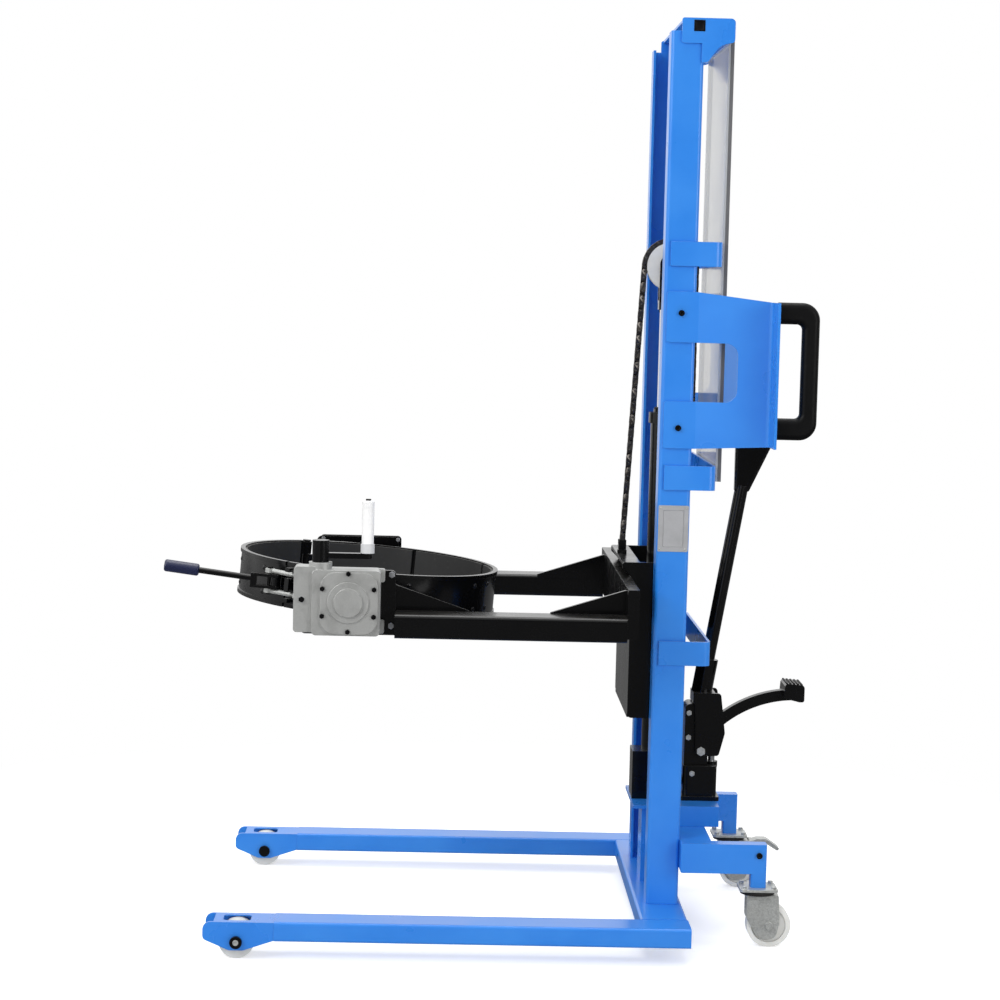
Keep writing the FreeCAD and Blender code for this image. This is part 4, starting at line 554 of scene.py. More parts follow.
# Grey for the strips on the guard's lips: painted shade for the dark line there.
LIP_SHADE = PlasticFinish("grey_lip_shade", (104, 104, 106), 0.5, worn_tone=(150, 150, 150), wear=0.2)
SEAL_RUBBER = PlasticFinish("seal_rubber", (16, 16, 17), 0.55, worn_tone=(70, 70, 70), wear=0.3, shine=0.3)
GEAR_BOLTS = MetalFinish("gear_case_bolts", (178, 180, 184), 0.36, grain=Grain.SPANGLE, grain_scale=160.0,
                         depth=0.03, metallic=0.8, zone=Zone("Y", -0.4625, False, (22, 22, 24)))
BARE_PLATE = MetalFinish("bare_plate", (192, 193, 196), 0.34, grain_scale=260.0, depth=0.03, stain=0.12,
                         metallic=0.3)


class Workshop:
    """Keeps each finish's material and lays it on the CAD nodes."""

    def __init__(self) -> None:
        """Set up the shared effects."""
        self.shelf = EffectShelf()
        self.mixed: dict[str, bpy.types.Material] = {}

    def material(self, finish: Finish) -> bpy.types.Material:
        """Give a finish's material, made on first use."""
        if finish.name not in self.mixed:
            self.mixed[finish.name] = finish.material(self.shelf)
        return self.mixed[finish.name]

    def coat(self, finish: Finish, *names: str) -> None:
        """Lay a finish on CAD nodes.

        Args:
            finish: The finish.
            names: The nodes' names.
        """
        for name in names:
            node = frame["nodes"][name]
            for slot in node.material_slots:
                slot.material = self.material(finish)
            LOG.info("%s finished in %s", name, finish.name)

    def add(self, piece: bpy.types.Object, name: str, body: str, finish: Finish, slot: str) -> None:
        """Name a new piece, finish it and let it ride on a body.

        Args:
            piece: The piece.
            name: Its name.
            body: The body that carries it.
            finish: Its finish.
            slot: Not used.
        """
        self.finish(piece, name, finish)
        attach(piece, body)
        LOG.info("%s added on %s", name, body)

    def stretch(self, piece: bpy.types.Object, name: str, bodies: tuple[str, str],
                ends: tuple[Vector, Vector], finish: Finish, slot: str) -> None:
        """Name a new piece, finish it and put its place into its mesh; no body carries it.

        Args:
            piece: The piece, with no parent.
            name: Its name.
            bodies: The bodies at its two ends.
            ends: Not used.
            finish: Its finish.
            slot: Not used.
        """
        self.finish(piece, name, finish)
        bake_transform(piece)
        LOG.info("%s hung between %s and %s", name, *bodies)

    def finish(self, piece: bpy.types.Object, name: str, finish: Finish) -> None:
        """Name a new piece, give it its material and shade it.

        Args:
            piece: The piece.
            name: Its name.
            finish: Its finish.
        """
        piece.name = name
        piece.data.name = name
        piece.data.materials.clear()
        piece.data.materials.append(self.material(finish))
        Vise.hold(piece)
        bpy.ops.object.shade_smooth_by_angle(angle=math.radians(40))

    def add_joined(self, pieces: list[bpy.types.Object], name: str, body: str, finish: Finish,
                   slot: str) -> None:
        """Join pieces of one kind and add them as one.

        Args:
            pieces: The pieces.
            name: The joined piece's name.
            body: The body that carries it.
            finish: Its finish.
            slot: Not used; only passed on to add, which does not read it.
        """
        self.add(Vise.join(pieces), name, body, finish, slot)


class Axis(Enum):
    """Which way a round piece points, with the turn from straight up."""

    Y = (math.pi / 2, 0.0, 0.0)
    Z = (0.0, 0.0, 0.0)


class Vise:
    """Shapes new pieces with mesh operators. Places and sizes are in metres."""

    @staticmethod
    def clear() -> None:
        """Deselect everything."""
        bpy.ops.object.select_all(action="DESELECT")

    @staticmethod
    def hold(*pieces: bpy.types.Object) -> None:
        """Select only these pieces, with the first one active."""
        Vise.clear()
        for piece in pieces:
            piece.select_set(True)
        bpy.context.view_layer.objects.active = pieces[0]

    @staticmethod
    def join(pieces: list[bpy.types.Object]) -> bpy.types.Object:
        """Join pieces into the first one."""
        Vise.hold(*pieces)
        if len(pieces) > 1:
            bpy.ops.object.join()
        return pieces[0]

    @staticmethod
    def enter() -> None:
        """Go into edit mode with everything selected."""
        bpy.ops.object.mode_set(mode="EDIT")
        bpy.ops.mesh.select_all(action="SELECT")

    @staticmethod
    def settle(piece: bpy.types.Object) -> bpy.types.Object:
        """Put a piece's place, turn and scale into its mesh."""
        Vise.hold(piece)
        bpy.ops.object.transform_apply(location=True, rotation=True, scale=True)
        return piece

    @staticmethod
    def block(low: tuple, high: tuple) -> bpy.types.Object:
        """Start from a cube stretched to a box.

        Args:
            low: Lowest corner.
            high: Highest corner.

        Returns:
            The new piece.
        """
        Vise.clear()
        bpy.ops.mesh.primitive_cube_add(size=1.0, location=[(a + b) / 2 for a, b in zip(low, high)])
        piece = bpy.context.active_object
        piece.scale = [b - a for a, b in zip(low, high)]
        return Vise.settle(piece)

    @staticmethod
    def disc(middle: tuple, radius: float, height: float, axis: Axis, sides: int = 32) -> bpy.types.Object:
        """Start from a cylinder.

        Args:
            middle: Its middle.
            radius: Its radius.
            height: Its length along the axis.
            axis: Which way it points.
            sides: Faces round it.

        Returns:
            The new piece.
        """
        Vise.clear()
        bpy.ops.mesh.primitive_cylinder_add(vertices=sides, radius=radius, depth=height, location=middle,
                                            rotation=axis.value)
        return Vise.settle(bpy.context.active_object)

    @staticmethod
    def pick(piece: bpy.types.Object, test: Callable[[Vector, Vector], bool]) -> None:
        """Go into edit mode with the faces selected that pass a test.

        Args:
            piece: The piece.
            test: Takes a face's middle and its normal.
        """
        Vise.hold(piece)
        bpy.ops.object.mode_set(mode="EDIT")
        bpy.ops.mesh.select_mode(type="FACE")
        bpy.ops.mesh.select_all(action="DESELECT")
        bpy.ops.object.mode_set(mode="OBJECT")
        for face in piece.data.polygons:
            face.select = test(face.center, face.normal)
        bpy.ops.object.mode_set(mode="EDIT")

    @staticmethod
    def out() -> None:
        """Leave edit mode."""
        bpy.ops.object.mode_set(mode="OBJECT")

    @staticmethod
    def dish(piece: bpy.types.Object, way: tuple, rim: float, push: float) -> None:
        """Inset the faces that look one way, and push the middle in or out.

        Args:
            piece: The piece.
            way: The direction of those faces.
            rim: Width of the rim that stays.
            push: How far the middle moves along the direction.
        """
        aim = Vector(way)
        Vise.pick(piece, lambda middle, normal: normal.dot(aim) > 0.99)
        bpy.ops.mesh.inset(thickness=rim)
        bpy.ops.mesh.extrude_region_move(TRANSFORM_OT_translate={"value": aim * push})
        Vise.out()

    @staticmethod
    def pierce(piece: bpy.types.Object, way: Vector, rim: float) -> None:
        """Cut a hole through a piece, from the faces that look one way to those opposite.

        Args:
            piece: The piece.
            way: The direction of the hole.
            rim: Width of the wall that stays.
        """
        Vise.pick(piece, lambda middle, normal: abs(normal.dot(way)) > 0.99)
        bpy.ops.mesh.inset(thickness=rim)
        bpy.ops.mesh.bridge_edge_loops()
        Vise.out()

    @staticmethod
    def soften(piece: bpy.types.Object, width: float, segments: int = 2) -> None:
        """Round a piece's sharp edges by a bevel that is applied.

        Args:
            piece: The piece.
            width: Width of the bevel.
            segments: Faces across it.
        """
        Vise.hold(piece)
        bevel = piece.modifiers.new("soft_edges", "BEVEL")
        bevel.width = width
        bevel.segments = segments
        bevel.limit_method = "ANGLE"
        bpy.ops.object.modifier_apply(modifier=bevel.name)

    @staticmethod
    def row(piece: bpy.types.Object, count: int, step: tuple, merge: bool = False) -> None:
        """Repeat a piece in a row by an array that is applied.

        Args:
            piece: The piece.
            count: How many there are in all.
            step: The move from one to the next.
            merge: Whether neighbours grow together.
        """
        Vise.hold(piece)
        array = piece.modifiers.new("row", "ARRAY")
        array.count = count
        array.use_relative_offset = False
        array.use_constant_offset = True
        array.constant_offset_displace = step
        array.use_merge_vertices = merge
        array.merge_threshold = 0.00005
        bpy.ops.object.modifier_apply(modifier=array.name)

    @staticmethod
    def copies(piece: bpy.types.Object, places: list[Matrix]) -> bpy.types.Object:
        """Copy a piece modelled at the origin to several places and join the copies.

        Args:
            piece: The piece, which becomes part of the result.
            places: Where the copies go.

        Returns:
            The joined piece.
        """
        made = []
        for place in places:
            Vise.hold(piece)
            bpy.ops.object.duplicate(linked=False)
            copy = bpy.context.active_object
            copy.matrix_world = place
            made.append(Vise.settle(copy))
        bpy.data.objects.remove(piece)
        return Vise.join(made)

    @staticmethod
    def twin(node: bpy.types.Object) -> bpy.types.Object:
        """Copy a CAD node to a free piece whose faces are joined."""
        Vise.hold(node)
        bpy.ops.object.duplicate(linked=False)
        piece = bpy.context.active_object
        bpy.ops.object.parent_clear(type="CLEAR_KEEP_TRANSFORM")
        for label in [label for label in piece.keys() if label.startswith("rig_")]:
            del piece[label]
        Vise.enter()
        bpy.ops.mesh.remove_doubles(threshold=0.00001)
        Vise.out()
        return piece

    @staticmethod
    def button(radius: float, height: float, sides: int = 16) -> bpy.types.Object:
        """Model a low domed head at the origin that points along plus Z.

        Args:
            radius: Radius of its foot.
            height: Height of its crown.
            sides: Faces round it.

        Returns:
            The new piece.
        """
        Vise.clear()
        bpy.ops.mesh.primitive_uv_sphere_add(segments=sides, ring_count=8, radius=radius)
        piece = bpy.context.active_object
        Vise.enter()
        bpy.ops.mesh.bisect(plane_co=(0, 0, radius * 0.05), plane_no=(0, 0, 1), use_fill=True,
                            clear_inner=True)
        bpy.ops.mesh.select_all(action="SELECT")
        bpy.ops.transform.resize(value=(1.0, 1.0, height / radius), center_override=(0, 0, 0))
        Vise.out()
        return piece

    @staticmethod
    def bead(start: tuple, end: tuple, radius: float) -> bpy.types.Object:
        """Lay a weld bead of ripples along a straight seam.

        Args:
            start: Where the seam starts.
            end: Where it ends.
            radius: Radius of the bead.

        Returns:
            The new piece.
        """
        way = Vector(end) - Vector(start)
        count = max(3, round(way.length / (radius * 1.6)))
        pitch = way.length / count
        slim = 0.7
        Vise.clear()
        bpy.ops.mesh.primitive_circle_add(vertices=8, radius=radius * slim)
        piece = bpy.context.active_object
        Vise.enter()
        for share in (1 / slim, slim):
            bpy.ops.mesh.extrude_region_move(TRANSFORM_OT_translate={"value": (0, 0, pitch / 2)})
            bpy.ops.transform.resize(value=(share, share, 1.0))
        Vise.out()
        Vise.row(piece, count, (0, 0, pitch), merge=True)
        Vise.enter()
        bpy.ops.mesh.fill_holes(sides=0)
        bpy.ops.mesh.select_all(action="SELECT")
        bpy.ops.mesh.normals_make_consistent(inside=False)
        Vise.out()
        piece.matrix_world = Matrix.Translation(start) @ way.to_track_quat("Z", "Y").to_matrix().to_4x4()
        return Vise.settle(piece)


@dataclass
class Chassis:
    """Legs, load rollers, cross beam, rear beam and casters."""

    painted: tuple[str, ...] = ("leg_left", "leg_right", "cross_beam", "caster_frame", "pump_deck")
    plated: tuple[str, ...] = ("caster_plates", "caster_fork_left", "caster_fork_right", "brake_pedal")
    rolling: tuple[str, ...] = ("load_roller_left", "load_roller_right", "caster_wheel_left",
                                "caster_wheel_right")
    dark: tuple[str, ...] = ("load_axles", "frame_bolts")
    axle_x: float = -0.561
    axle_z: float = 0.040
    axle_end_y: float = 0.501
    axle_pin: float = 0.0065
    pin_length: float = 0.0016
    pin_rim: float = 0.0035
    pin_dish: float = 0.0006
    stem_x: float = 0.631
    stem_y: float = 0.287
    swivel_ring_low: float = 0.1232
    swivel_ring_high: float = 0.1325
    swivel_ring_radius: float = 0.040
    swivel_ring_wall: float = 0.009
    mast_front_x: float = 0.374
    mast_rear_x: float = 0.449
    mast_out: float = 0.266
    mast_in: float = 0.206
    floor_top: float = 0.087
    rear_beam: tuple[float, float] = (0.171, 0.240)
    weld: float = 0.0032

    def build(self, shop: Workshop) -> None:
        """Model the axle ends, the black seal rings under the caster plates, which also stand as painted
        shade for the dark gap there, and the welds.
        """
        pin = Vise.disc((0, 0, 0), self.axle_pin, self.pin_length, Axis.Z)
        Vise.dish(pin, (0, 0, 1), self.pin_rim, -self.pin_dish)
        Vise.soften(pin, 0.0003)
        places = []
        for side in (1, -1):
            spot = (self.axle_x, -side * (self.axle_end_y + self.pin_dish), self.axle_z)
            places.append(Matrix.Translation(spot) @ Matrix.Rotation(side * math.pi / 2, 4, "X"))
        ends = Vise.copies(pin, places)
        shop.add(ends, "load_axle_ends", "base", ZINC_PLATE, "zinc_steel")
        for name, side in (("caster_l", -1), ("caster_r", 1)):
            middle = (self.stem_x, side * self.stem_y, (self.swivel_ring_low + self.swivel_ring_high) / 2)
            # A black rubber seal ring under the swivel plate, dark also as painted shade for the gap between
            # plate and fork.
            seal_and_shade = Vise.disc(middle, self.swivel_ring_radius, self.swivel_ring_high - self.swivel_ring_low, Axis.Z, 48)
            Vise.pierce(seal_and_shade, Vector((0, 0, 1)), self.swivel_ring_wall)
            Vise.soften(seal_and_shade, 0.0012, 3)
            shop.add(seal_and_shade, f"seal_and_shade_ring_{name}", name, SEAL_RUBBER, "pad_rubber")
        self.lay_welds(shop)

    def lay_welds(self, shop: Workshop) -> None:
        """Weld the uprights to the cross beam and the rear beam."""
        beads = []
        low, high = self.rear_beam
        for side in (-1, 1):
            out = side * self.mast_out
            inner = side * self.mast_in
            seams = (((self.mast_front_x, out, self.floor_top), (self.mast_rear_x, out, self.floor_top)),
                     ((self.mast_rear_x, out, self.floor_top), (self.mast_rear_x, inner, self.floor_top)),
                     ((self.mast_rear_x, out, low), (self.mast_rear_x, out, high)),
                     ((self.mast_rear_x, out, high), (self.mast_rear_x, inner, high)))
            beads += [Vise.bead(start, end, self.weld) for start, end in seams]
        shop.add_joined(beads, "chassis_welds", "base", BLUE_PAINT, "blue_paint")

    def dress(self, shop: Workshop) -> None:
        """Lay the finishes on the chassis."""
        shop.coat(BLUE_PAINT, *self.painted)
        shop.coat(ZINC_PLATE, *self.plated)
        shop.coat(WHITE_NYLON, *self.rolling)
        shop.coat(BLACK_PAINT, *self.dark)


@dataclass
class Mast:
    """Uprights, cap, braces, guard, handles and plate."""

    painted: tuple[str, ...] = ("upright_left", "upright_right", "mast_cap", "mast_braces", "handle_brackets")
    eye_x: tuple[float, float] = (0.425, 0.448)
    eye_z: tuple[float, float] = (2.101, 2.124)
    eye_y: tuple[float, float] = (0.266, 0.272)
    lap: float = 0.0012
    lip_x: float = 0.522
    lip_y: tuple[float, float] = (0.219, 0.222)
    guard_z: tuple[float, float] = (1.075, 2.103)
    lip_shade_wall: float = 0.0009
    lip_shade_reach: float = 0.007
    tag_x: tuple[float, float] = (0.3765, 0.4465)
    tag_z: tuple[float, float] = (0.914, 1.021)
    tag_y: float = -0.267
    rivet_edge: float = 0.006
    rivet_radius: float = 0.0024
    rivet_rise: float = 0.0012
    border_edge: float = 0.0105
    border_rise: float = 0.0003
    lap_x: float = 0.386
    rear_x: float = 0.449
    side_y: float = 0.2668
    brace_z: tuple[float, ...] = (0.650, 1.057, 1.570)
    brace_h: float = 0.056
    weld: float = 0.0026

    def build(self, shop: Workshop) -> None:
        """Model the black plugs that stand as painted shade in the cap's eyes, the grey strips that paint
        shade along the guard's lips, the plate's rivets and the welds.
        """
        self.fill_eyes_with_shade(shop)
        self.shade_guard_lips(shop)
        self.rivet_plate(shop)
        beads = []
        for side in (-1, 1):
            y = side * self.side_y
            for z in self.brace_z:
                for start, end in (((self.lap_x, y, z), (self.lap_x, y, z + self.brace_h)),
                                   ((self.lap_x, y, z), (self.rear_x, y, z))):
                    beads.append(Vise.bead(start, end, self.weld))
        shop.add_joined(beads, "mast_welds", "base", BLUE_PAINT, "blue_paint")

    def fill_eyes_with_shade(self, shop: Workshop) -> None:
        """Fill the eye on each side of the cap with a black plug, painted shade where the hole shows dark."""
        for name, side in (("left", -1), ("right", 1)):
            inner, outer = (side * y for y in self.eye_y)
            face = outer + side * self.lap
            low = (self.eye_x[0] - self.lap, min(outer, face), self.eye_z[0] - self.lap)
            high = (self.eye_x[1] + self.lap, max(outer, face), self.eye_z[1] + self.lap)
            # A black block in the eye: painted shade for the dark hole.
            eye_shade = Vise.block(low, high)
            Vise.dish(eye_shade, (0, -side, 0), 0.0018, abs(outer - inner))
            Vise.dish(eye_shade, (0, side, 0), 0.004, -0.0009)
            Vise.soften(eye_shade, 0.0005)
            shop.add(eye_shade, f"cap_eye_shade_{name}", "base", BLACK_GRIP, "black_plastic")

    def shade_guard_lips(self, shop: Workshop) -> None:
        """Push a grey channel strip over each long edge of the guard, as painted shade for the dark line
        along its lips.
        """
        wall = self.lip_shade_wall
        for name, side in (("left", -1), ("right", 1)):
            near, far = (side * y for y in self.lip_y)
            low = (self.lip_x - self.lip_shade_reach, min(near, far) - wall, self.guard_z[0])
            high = (self.lip_x + wall, max(near, far) + wall, self.guard_z[1])
            # The grey strip paints the shade along the lip.
            lip_shade = Vise.block(low, high)
            Vise.dish(lip_shade, (-1, 0, 0), wall, -self.lip_shade_reach)
            shop.add(lip_shade, f"guard_lip_shade_{name}", "base", LIP_SHADE, "black_plastic")

    def rivet_plate(self, shop: Workshop) -> None:
        """Rivet the bare plate at its corners and press a border into it."""
        edge = self.rivet_edge
        turn = Matrix.Rotation(math.pi / 2, 4, "X")
        spots = [Matrix.Translation((x, self.tag_y, z)) @ turn
                 for x in (self.tag_x[0] + edge, self.tag_x[1] - edge)
                 for z in (self.tag_z[0] + edge, self.tag_z[1] - edge)]
        rivets = Vise.copies(Vise.button(self.rivet_radius, self.rivet_rise), spots)
        shop.add(rivets, "plate_rivets", "base", ZINC_PLATE, "zinc_steel")
        inset = self.border_edge
        border = Vise.block((self.tag_x[0] + inset, self.tag_y - self.border_rise, self.tag_z[0] + inset),
                            (self.tag_x[1] - inset, self.tag_y, self.tag_z[1] - inset))
        Vise.dish(border, (0, -1, 0), 0.0012, -0.0002)
        shop.add(border, "plate_border", "base", BARE_PLATE, "plate_grey")

    def dress(self, shop: Workshop) -> None:
        """Lay the finishes on the mast."""
        shop.coat(BLUE_PAINT, *self.painted)
        shop.coat(CLEAR_SHEET, "guard_panel")
        shop.coat(BARE_PLATE, "blank_plate")
        shop.coat(BLACK_GRIP, "grab_handles")


@dataclass
class Lift:
    """Cylinder, ram, sheave, chain, carriage and its guide rollers."""

    black: tuple[str, ...] = ("cylinder_foot", "cylinder_barrel", "sheave_yoke", "carriage", "chain_anchor",
                              "arm_left", "arm_right", "far_bearing")
    rod_x: float = 0.4115
    gland_top: float = 1.231
    rod_radius: float = 0.022
    wiper_radius: float = 0.0285
    wiper_rise: float = 0.0035
    wiper_gap: float = 0.0005
    arm_y: tuple[float, float] = (0.372, 0.462)
    arm_top: float = 0.780
    beam_x: float = 0.298
    beam_low: float = 0.735
    web_y: float = 0.384
    web_x: tuple[float, float] = (-0.215, -0.060)
    weld: float = 0.0032
    sheave_z: float = 1.571
    pitch: float = 0.015875
    wrap_links: int = 12
    wrap_arc: float = math.radians(177.0)
    front_links: int = 42
    back_links: int = 21
    anchor_x: float = 0.315
    pin_radius: float = 0.0027
    pin_half: float = 0.0100
    end_play: float = 0.07

    def build(self, shop: Workshop) -> None:
        """Model the rod wiper, the welds on the arms and the chain's rivets."""
        self.hang_chain(shop)
        wiper = Vise.disc((self.rod_x, 0, self.gland_top + self.wiper_rise / 2), self.wiper_radius,
                          self.wiper_rise, Axis.Z, 48)
        Vise.pierce(wiper, Vector((0, 0, 1)), self.wiper_radius - self.rod_radius - self.wiper_gap)
        Vise.soften(wiper, 0.0008, 3)
        shop.add(wiper, "rod_wiper", "base", SEAL_RUBBER, "pad_rubber")
        beads = []
        for side in (-1, 1):
            inner, outer = (side * y for y in self.arm_y)
            web = side * self.web_y
            seams = (((self.beam_x, outer, self.beam_low), (self.beam_x, outer, self.arm_top)),
                     ((self.beam_x, inner, self.beam_low), (self.beam_x, inner, self.arm_top)),
                     ((self.web_x[0], web, self.arm_top), (self.web_x[1], web, self.arm_top)))
            beads += [Vise.bead(start, end, self.weld) for start, end in seams]
        shop.add_joined(beads, "arm_welds", "carriage", BLACK_PAINT, "black_paint")

    def hang_chain(self, shop: Workshop) -> None:
        """Rivet the chain, and copy each run, with its rivets, to a free piece in place of the hidden CAD
        run.
        """
        step = self.wrap_arc / self.wrap_links
        radius = self.pitch / (2 * math.sin(step / 2))
        wrap = [Vector((self.rod_x + radius * math.cos(k * step), 0,
                        self.sheave_z + radius * math.sin(k * step)))
                for k in range(self.wrap_links + 1)]
        shop.add(self.rivets(wrap), "chain_wrap_pins", "ram", PIN_STEEL, "zinc_steel")
        aside = self.anchor_x - wrap[-1].x
        drop = math.sqrt((self.front_links * self.pitch) ** 2 - aside ** 2)
        low_front = wrap[-1] + Vector((aside, 0, -drop))
        low_back = wrap[0] - Vector((0, 0, self.back_links * self.pitch))
        for node, bodies, start, end, links in (
                ("chain_front", ("ram", "carriage"), wrap[-1], low_front, self.front_links),
                ("chain_back", ("base", "ram"), low_back, wrap[0], self.back_links)):
            pins = [start.lerp(end, k / links) for k in range(links + 1)]
            slack = (end - start) * self.end_play
            for piece, name, finish, slot in (
                    (Vise.twin(frame["nodes"][node]), f"{node}_run", OILED_STEEL, "black_paint"),
                    (self.rivets(pins), f"{node}_pins", PIN_STEEL, "zinc_steel")):
                shop.stretch(piece, name, bodies, (start - slack, end + slack), finish, slot)
            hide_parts(node)

    def rivets(self, pins: list[Vector]) -> bpy.types.Object:
        """Model a row of chain rivets with rounded ends.

        Args:
            pins: The rivets' middles.

        Returns:
            The joined rivets.
        """
        rivet = Vise.disc((0, 0, 0), self.pin_radius, 2 * self.pin_half, Axis.Y, 10)
        Vise.soften(rivet, self.pin_radius / 3)
        return Vise.copies(rivet, [Matrix.Translation(pin) for pin in pins])

    def dress(self, shop: Workshop) -> None:
        """Lay the finishes on the lift."""
        shop.coat(BLACK_PAINT, *self.black)
        shop.coat(OILED_STEEL, "chain_wrap")
        shop.coat(HARD_CHROME, "piston_rod")
        shop.coat(WHITE_NYLON, "chain_sheave", "guide_rollers_low", "guide_rollers_top")


@dataclass
class Clamp:
    """Gearbox, crank, drum ring and latch."""

    black: tuple[str, ...] = ("ring_back", "ring_door", "crank_arm", "latch_lever")
    axis_x: float = -0.296
    pivot: tuple[float, float, float] = (-0.326, 0.0, 0.806)
    tilt: float = math.radians(4.16)
    band_radius: float = 0.3065
    screw_rise: float = 0.028
    screw_radius: float = 0.0062
    screw_crown: float = 0.0026
    back_angles: tuple[float, ...] = (277.5, 289.3, 326.0, 337.8, 374.5, 386.3, 423.0, 434.8, 471.0)
    door_angles: tuple[float, ...] = (138.0, 168.5, 189.6, 219.0)

    def build(self, shop: Workshop) -> None:
        """Model the screws that hold the pads in the ring."""
        lean = (Matrix.Translation(self.pivot) @ Matrix.Rotation(self.tilt, 4, "Y")
                @ Matrix.Translation(-Vector(self.pivot)))
        out = Matrix.Translation((self.band_radius, 0, 0)) @ Matrix.Rotation(math.pi / 2, 4, "Y")
        for name, body, angles in (("ring_screws_back", "clamp", self.back_angles),
                                   ("ring_screws_door", "clamp_door", self.door_angles)):
            spots = []
            for angle in angles:
                turn = Matrix.Rotation(math.radians(angle), 4, "Z")
                for rise in (-self.screw_rise, self.screw_rise):
                    middle = Matrix.Translation((self.axis_x, 0, self.pivot[2] + rise))
                    spots.append(lean @ middle @ turn @ out)
            screws = Vise.copies(Vise.button(self.screw_radius, self.screw_crown), spots)
            shop.add(screws, name, body, BLACK_PAINT, "black_paint")

    def dress(self, shop: Workshop) -> None:
        """Lay the finishes on the clamp and its drive."""
        shop.coat(CAST_ALUMINIUM, "gearbox", "gearbox_cover")
        shop.coat(BLACK_PAINT, *self.black)
        shop.coat(ZINC_PLATE, "draw_bolts", "trunnion_shafts", "worm_shaft")
        shop.coat(GEAR_BOLTS, "gearbox_bolts")
        shop.coat(WHITE_GRIP, "crank_grip")
        shop.coat(NAVY_GRIP, "latch_grip")
        shop.coat(PAD_RUBBER, "ring_pads_back", "ring_pads_door")


@dataclass
class PumpUnit:
    """Foot and hand pump on its deck."""

    black: tuple[str, ...] = ("pump_body", "pump_rocker", "hand_lever", "foot_pedal", "feed_pipe")
    tread_x: float = 0.7205
    tread_z: float = 0.5766
    tread_half: float = 0.038
    tread_step: tuple[float, float, float] = (0.009, 0.0, -0.00077)
    tread_count: int = 5
    rib_half: float = 0.0022
    rib_sink: float = 0.001

    def build(self, shop: Workshop) -> None:
        """Model the ribs on the pedal's pad."""
        rib = Vise.block((self.tread_x - self.rib_half, -self.tread_half, self.tread_z - self.rib_sink),
                         (self.tread_x + self.rib_half, self.tread_half, self.tread_z + self.rib_half))
        Vise.soften(rib, 0.0009, 3)
        Vise.row(rib, self.tread_count, self.tread_step)
        shop.add(rib, "pedal_tread", "rocker", SEAL_RUBBER, "pad_rubber")

    def dress(self, shop: Workshop) -> None:
        """Lay the finishes on the pump."""
        shop.coat(BLACK_PAINT, *self.black)
        shop.coat(HARD_CHROME, "pump_plunger")
        shop.coat(ZINC_PLATE, "pump_bolts")
        shop.coat(BLACK_GRIP, "release_valve")


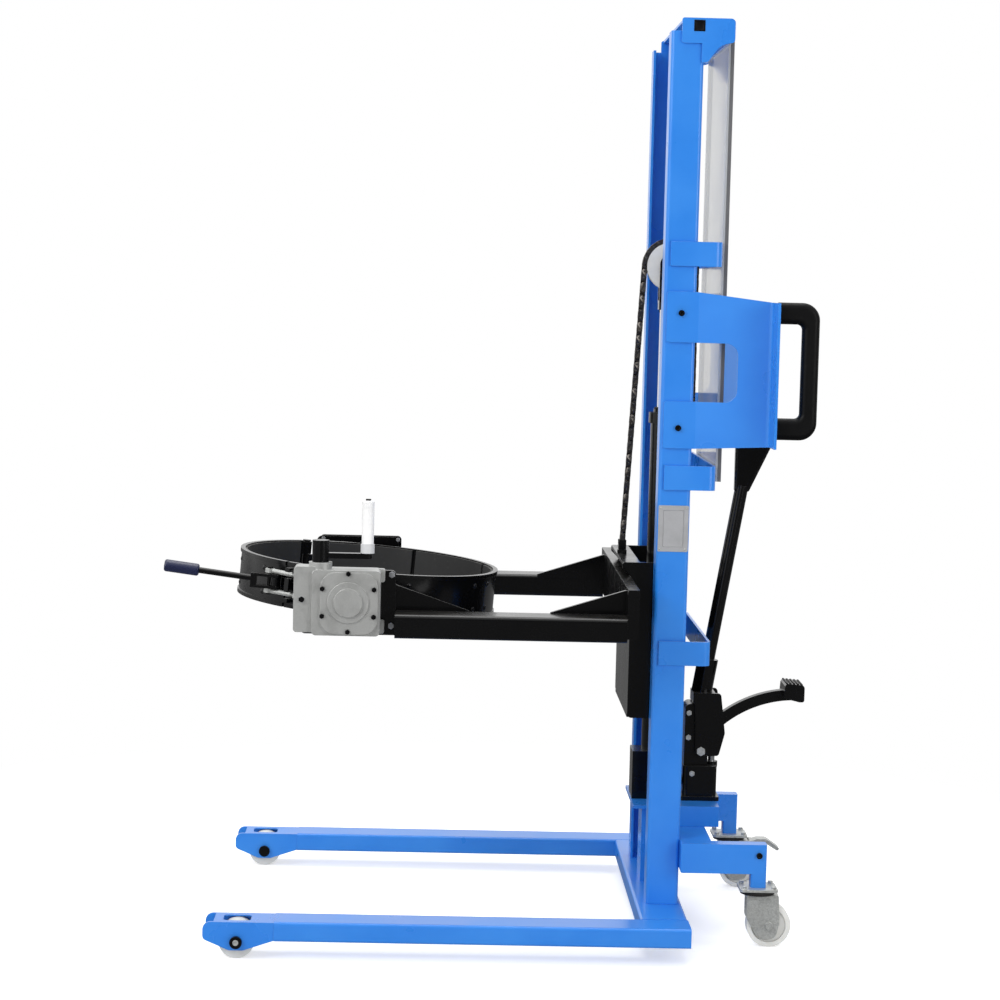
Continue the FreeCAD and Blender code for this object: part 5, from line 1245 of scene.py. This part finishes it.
@dataclass
class Studio:
    """Pale floor, soft lamps, white surround and the camera."""

    floor_side: float = 24.0
    floor_lift: float = 0.5
    floor_fade: tuple[float, float] = (0.9, 2.2)
    eye: tuple[float, float, float] = (-0.1352, -5.9103, 1.5043)
    pitch: float = 0.08472165
    yaw: float = 0.02588813
    roll: float = 0.02465851
    lens: float = 88.79
    sensor: float = 36.0
    ambient: float = 0.56
    front_gleam: float = 0.07
    floor_gleam: float = 0.18
    back_fade: tuple[float, float] = (-0.2, 0.4)
    sky_fade: tuple[float, float] = (0.25, 0.7)
    nose_fade: tuple[float, float] = (-0.10, -0.18)
    lamp_aim: tuple[float, float, float] = (0.0, 0.0, 0.9)

    def build(self) -> None:
        """Set up floor, light and camera."""
        self.floor()
        self.surround()
        self.lamps()
        self.camera()
        bpy.context.scene.view_settings.view_transform = "Standard"
        LOG.info("studio ready")

    def floor(self) -> None:
        """Lay a pale floor that keeps the shadow and reads as white to the camera."""
        Vise.clear()
        bpy.ops.mesh.primitive_plane_add(size=self.floor_side)
        floor = bpy.context.active_object
        floor.name = "studio_floor"
        material = bpy.data.materials.new("studio_floor")
        material.use_nodes = True
        bench = Bench(material.node_tree)
        bench.tree.nodes.clear()
        matte = bench.add("ShaderNodeBsdfDiffuse", Color=(0.82, 0.82, 0.82, 1.0)).outputs[0]
        path = bench.add("ShaderNodeLightPath").outputs
        seen = path["Is Camera Ray"]
        near = bench.add("ShaderNodeAddShader")
        bench.fill(near.inputs[0], matte)
        lift = bench.sum("MULTIPLY", seen, self.floor_lift)
        bench.fill(near.inputs[1], bench.white("ShaderNodeEmission", lift))
        reach = bench.add("ShaderNodeVectorMath", {"operation": "LENGTH"})
        bench.fill(reach.inputs[0], bench.add("ShaderNodeTexCoord").outputs["Object"])
        far = bench.spread(reach.outputs["Value"], *self.floor_fade)
        both = bench.layer(bench.sum("MULTIPLY", far, seen), near.outputs[0],
                           bench.white("ShaderNodeEmission", 1.0))
        shown = bench.layer(path["Is Glossy Ray"], both, bench.white("ShaderNodeEmission", self.floor_gleam))
        bench.add("ShaderNodeOutputMaterial", Surface=shown)
        floor.data.materials.append(material)

    def surround(self) -> None:
        """Light the object evenly, and show white to the camera, to gloss and through clear sheet."""
        world = bpy.data.worlds.new("studio_surround")
        bpy.context.scene.world = world
        world.use_nodes = True
        bench = Bench(world.node_tree)
        bench.tree.nodes.clear()
        path = bench.add("ShaderNodeLightPath").outputs
        place = bench.add("ShaderNodeTexCoord").outputs["Generated"]
        way = bench.add("ShaderNodeSeparateXYZ", Vector=place).outputs
        bright = bench.sum("MAXIMUM", bench.spread(way["Y"], *self.back_fade),
                           bench.spread(way["Z"], *self.sky_fade))
        bright = bench.sum("MAXIMUM", bright, bench.spread(way["X"], *self.nose_fade))
        mirrored = bench.spread(bright, 0.0, 1.0, self.front_gleam, 1.0)
        gloss = bench.layer(path["Is Glossy Ray"], bench.white("ShaderNodeBackground", self.ambient),
                            bench.white("ShaderNodeBackground", mirrored))
        clear_view = bench.sum("MAXIMUM", path["Is Camera Ray"], path["Is Transmission Ray"])
        shown = bench.layer(clear_view, gloss, bench.white("ShaderNodeBackground", 1.0))
        bench.add("ShaderNodeOutputWorld", Surface=shown)

    def lamps(self) -> None:
        """Hang the soft lamps."""
        self.lamp("key_lamp", (-4.2, -3.8, 4.0), 3.0, 165.0)
        self.lamp("fill_lamp", (3.6, -4.2, 1.9), 2.6, 72.0)
        self.lamp("top_lamp", (0.0, 0.4, 5.2), 3.4, 130.0)
        self.lamp("back_lamp", (1.2, 4.8, 2.6), 3.0, 45.0).visible_glossy = False

    def lamp(self, name: str, place: tuple, size: float, watts: float) -> bpy.types.Object:
        """Hang one soft lamp that looks at the middle of the object.

        Args:
            name: The lamp's name.
            place: Where it hangs.
            size: Side of its square face.
            watts: Its power.

        Returns:
            The lamp.
        """
        light = bpy.data.lights.new(name, "AREA")
        light.size = size
        light.energy = watts
        lamp = bpy.data.objects.new(name, light)
        bpy.context.scene.collection.objects.link(lamp)
        lamp.location = place
        aim = Vector(self.lamp_aim) - Vector(place)
        lamp.rotation_euler = aim.to_track_quat("-Z", "Y").to_euler()
        return lamp

    def camera(self) -> None:
        """Stand the camera where the photograph was taken from."""
        data = bpy.data.cameras.new("photo_camera")
        data.lens = self.lens
        data.sensor_width = self.sensor
        camera = bpy.data.objects.new("photo_camera", data)
        bpy.context.scene.collection.objects.link(camera)
        turn = (Matrix.Rotation(-self.yaw, 4, "Z") @ Matrix.Rotation(math.pi / 2 - self.pitch, 4, "X")
                @ Matrix.Rotation(self.roll, 4, "Z"))
        camera.matrix_world = Matrix.Translation(self.eye) @ turn
        bpy.context.scene.camera = camera


def main() -> None:
    """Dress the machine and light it."""
    logging.basicConfig(level=logging.INFO, format="%(message)s")
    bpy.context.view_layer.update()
    shop = Workshop()
    for assembly in (Chassis(), Mast(), Lift(), Clamp(), PumpUnit()):
        assembly.build(shop)
        assembly.dress(shop)
    Studio().build()


if __name__ == "__main__":
    main()
